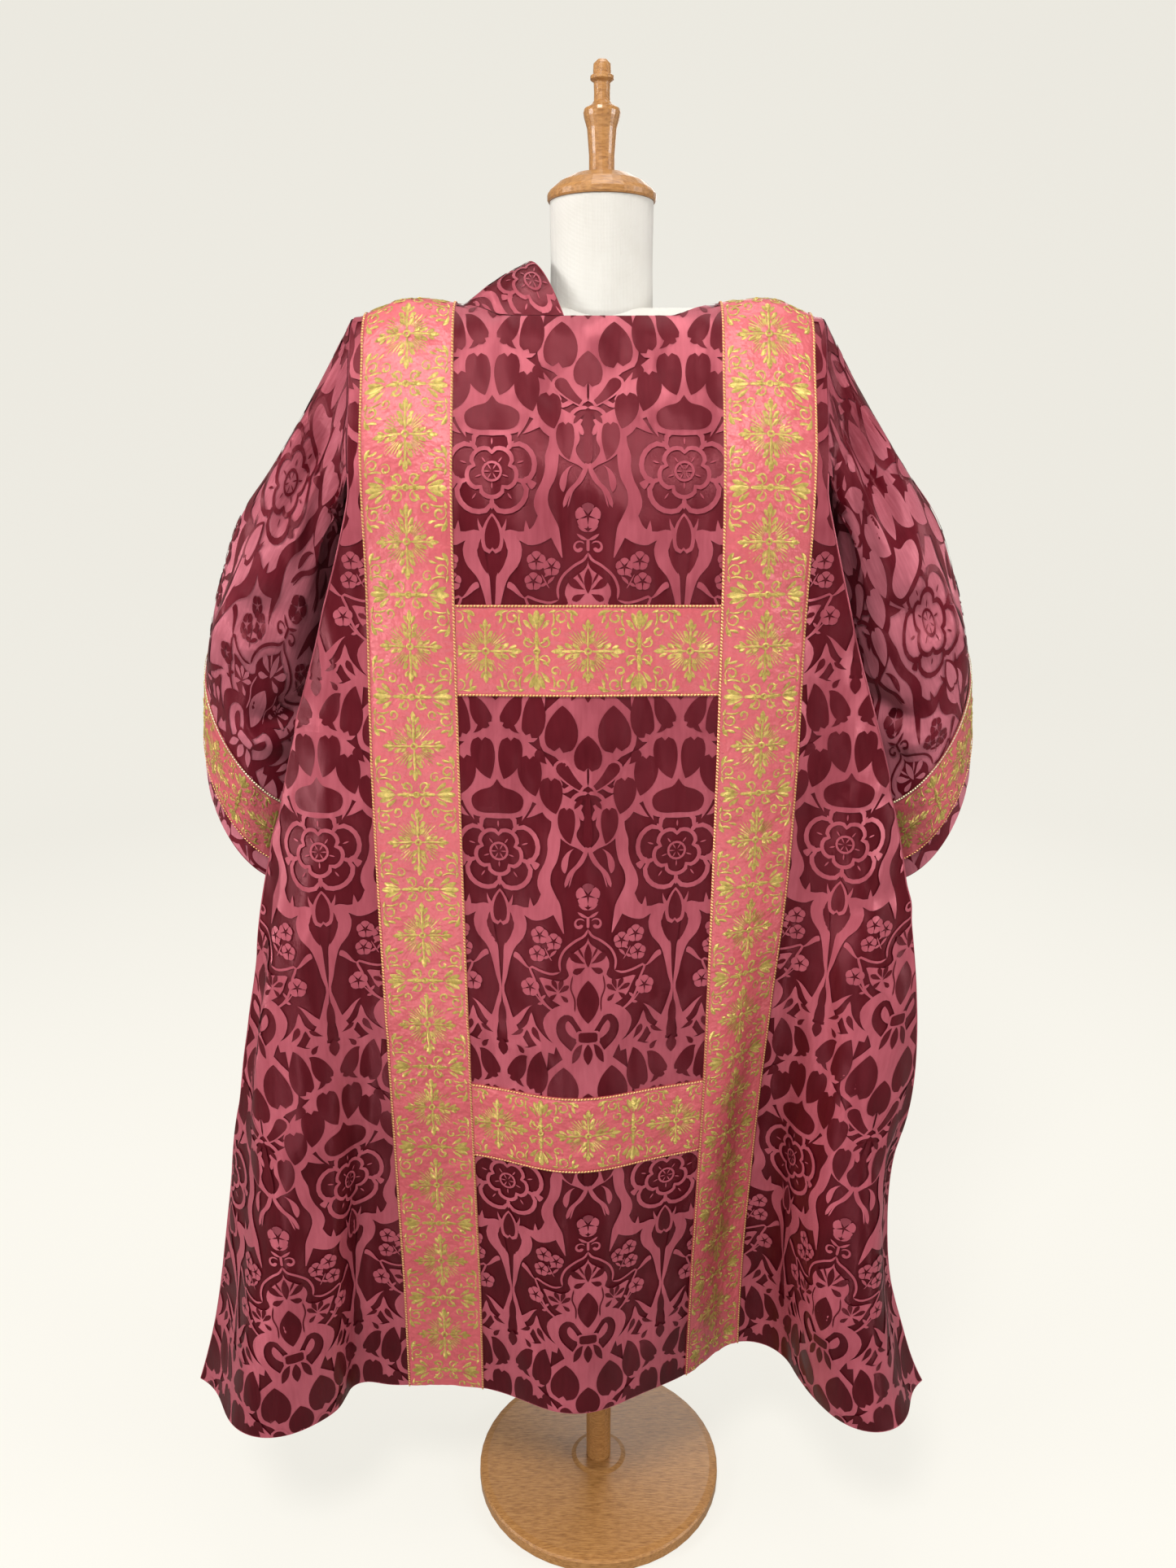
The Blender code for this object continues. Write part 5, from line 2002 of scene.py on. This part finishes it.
LAMPS = (
    Lamp("key", (-0.55, -2.0, 3.45), (0.0, 0.0, 1.15), 0.9, 72.0, (1.0, 0.98, 0.95)),
    Lamp("low_left", (-1.35, -2.3, 0.30), (-0.1, 0.0, 0.85), 0.6, 15.0),
    Lamp("low_right", (1.25, -2.4, 0.15), (0.15, 0.0, 0.85), 0.6, 11.0),
    Lamp("left", (-2.9, -0.9, 1.7), (0.0, 0.0, 1.0), 1.0, 44.0),
    Lamp("right", (2.9, -0.8, 1.6), (0.0, 0.0, 1.0), 1.0, 42.0),
    Lamp("top", (0.2, 0.2, 3.6), (0.0, 0.0, 1.4), 1.4, 18.0),
    Lamp("far", (0.5, 3.2, 2.4), (0.0, 0.0, 0.9), 2.0, 26.0),
)


class Studio:
    """Camera, lights and the pale bowl that is floor and backdrop."""

    camera_place = (0.0113, -1.2773, 1.304)
    camera_down = 15.4
    lens = 27.03
    cream = (0.89, 0.87, 0.80)
    paper = (0.22, 0.214, 0.20)
    glow = 0.82
    fill = 0.30
    floor_radius = 3.4
    bend_radius = 1.6
    wall_height = 9.0
    floor_sides = 96

    def build(self) -> None:
        """Sets up the camera first, then the bowl and the lights."""
        self.camera()
        self.bowl()
        for lamp in LAMPS:
            self.light(lamp)
        world = bpy.data.worlds.new("studio")
        world.use_nodes = True
        sky = world.node_tree.nodes["Background"]
        sky.inputs[0].default_value, sky.inputs[1].default_value = (*self.cream, 1.0), self.fill
        bpy.context.scene.world = world
        bpy.context.scene.view_settings.view_transform = "Standard"

    def camera(self) -> None:
        """The photograph's own view: level, behind the garment, looking a little down."""
        data = bpy.data.cameras.new("camera")
        data.lens, data.sensor_width = self.lens, 36.0
        camera = bpy.data.objects.new("camera", data)
        camera.location = self.camera_place
        camera.rotation_euler = (math.radians(90.0 - self.camera_down), 0.0, 0.0)
        bpy.context.scene.collection.objects.link(camera)
        bpy.context.scene.camera = camera

    def bowl(self) -> None:
        """A flat floor whose rim curves up into a round wall; its outline is a line, an arc and a line."""
        arc = np.linspace(0.0, math.pi / 2, 16)
        wall = self.floor_radius + self.bend_radius
        bend = self.floor_radius + self.bend_radius * np.sin(arc)
        radius = np.concatenate([[0.0, 1.0, 3.2], bend, [wall, wall]])
        climb = self.bend_radius * (1 - np.cos(arc))
        height = np.concatenate([[0.0, 0.0, 0.0], climb, [5.0, self.wall_height]])
        around = np.linspace(0.0, 2 * math.pi, self.floor_sides)
        x, y = radius[:, None] * np.cos(around), radius[:, None] * np.sin(around)
        points = np.stack([x, y, np.broadcast_to(height[:, None], x.shape)], axis=-1)
        faces = cells(np.arange(x.size).reshape(x.shape))
        mesh = bpy.data.meshes.new("pale_floor")
        mesh.from_pydata(points.reshape(-1, 3).tolist(), [], faces.tolist())
        mesh.shade_smooth()
        g = Graph("cream_paper")
        g.set(Base_Color=(*self.paper, 1.0), Roughness=1.0, Specular_IOR_Level=0.0)
        g.set(Emission_Color=(*self.cream, 1.0), Emission_Strength=self.glow)
        mesh.materials.append(g.material)
        floor = bpy.data.objects.new("pale_floor", mesh)
        bpy.context.scene.collection.objects.link(floor)
        floor.visible_diffuse = floor.visible_glossy = False

    def light(self, lamp: Lamp) -> None:
        """One area light, turned to its target."""
        data = bpy.data.lights.new(lamp.name, "AREA")
        data.shape, data.size, data.energy, data.color = "DISK", lamp.size, lamp.power, lamp.colour
        made = bpy.data.objects.new(lamp.name, data)
        made.location = lamp.place
        away = np.array(lamp.target) - np.array(lamp.place)
        flat = math.hypot(away[0], away[1])
        made.rotation_euler = (math.atan2(flat, -away[2]), 0.0, math.atan2(away[1], away[0]) - math.pi / 2)
        bpy.context.scene.collection.objects.link(made)


def bands(chart: Chart) -> list[Band]:
    """Both long bands and all four crossbars."""
    made = []
    length, width = CUT.body_length, CUT.band_width
    first = 0.0565
    down = tuple(first + CELL * k for k in range(-12, 12))
    for side, sign in (("left", -1.0), ("right", 1.0)):
        inner, outer = sorted((sign * CUT.band_inner, sign * CUT.band_outer))
        made.append(Band(f"long_band_{side}", chart, inner, outer, -length, length, True, down))
    for level, top in (("upper", CUT.upper_bar_top), ("lower", CUT.lower_bar_top)):
        for face, sign in (("back", 1.0), ("front", -1.0)):
            v0, v1 = sorted((sign * top, sign * (top + width)))
            inner = CUT.band_inner - CUT.gap
            across = tuple(CELL * k for k in (-1, 0, 1))
            made.append(Band(f"{level}_crossbar_{face}", chart, -inner, inner, v0, v1, False, across))
    return made


def main() -> None:
    """Builds the studio and every piece in order."""
    logging.basicConfig(level=logging.INFO)
    Studio().build()
    finishes = Finishes()
    chart = draped_body()
    repeat = Damask().repeat()
    LOG.info("one repeat of the damask: %d faces", len(repeat.faces))
    embroidery = Embroidery()
    Panel(chart, True).build(finishes, repeat)
    Panel(chart, False, rows=142, middle=54, wing=35).build(finishes, repeat)
    NeckFlap(chart).build(finishes, repeat)
    for mirror in (-1.0, 1.0):
        Sleeve(chart, mirror).build(finishes, repeat, embroidery)
    for band in bands(chart):
        band.build(finishes, embroidery)
    DressForm().build(finishes)


if __name__ == "__main__":
    main()
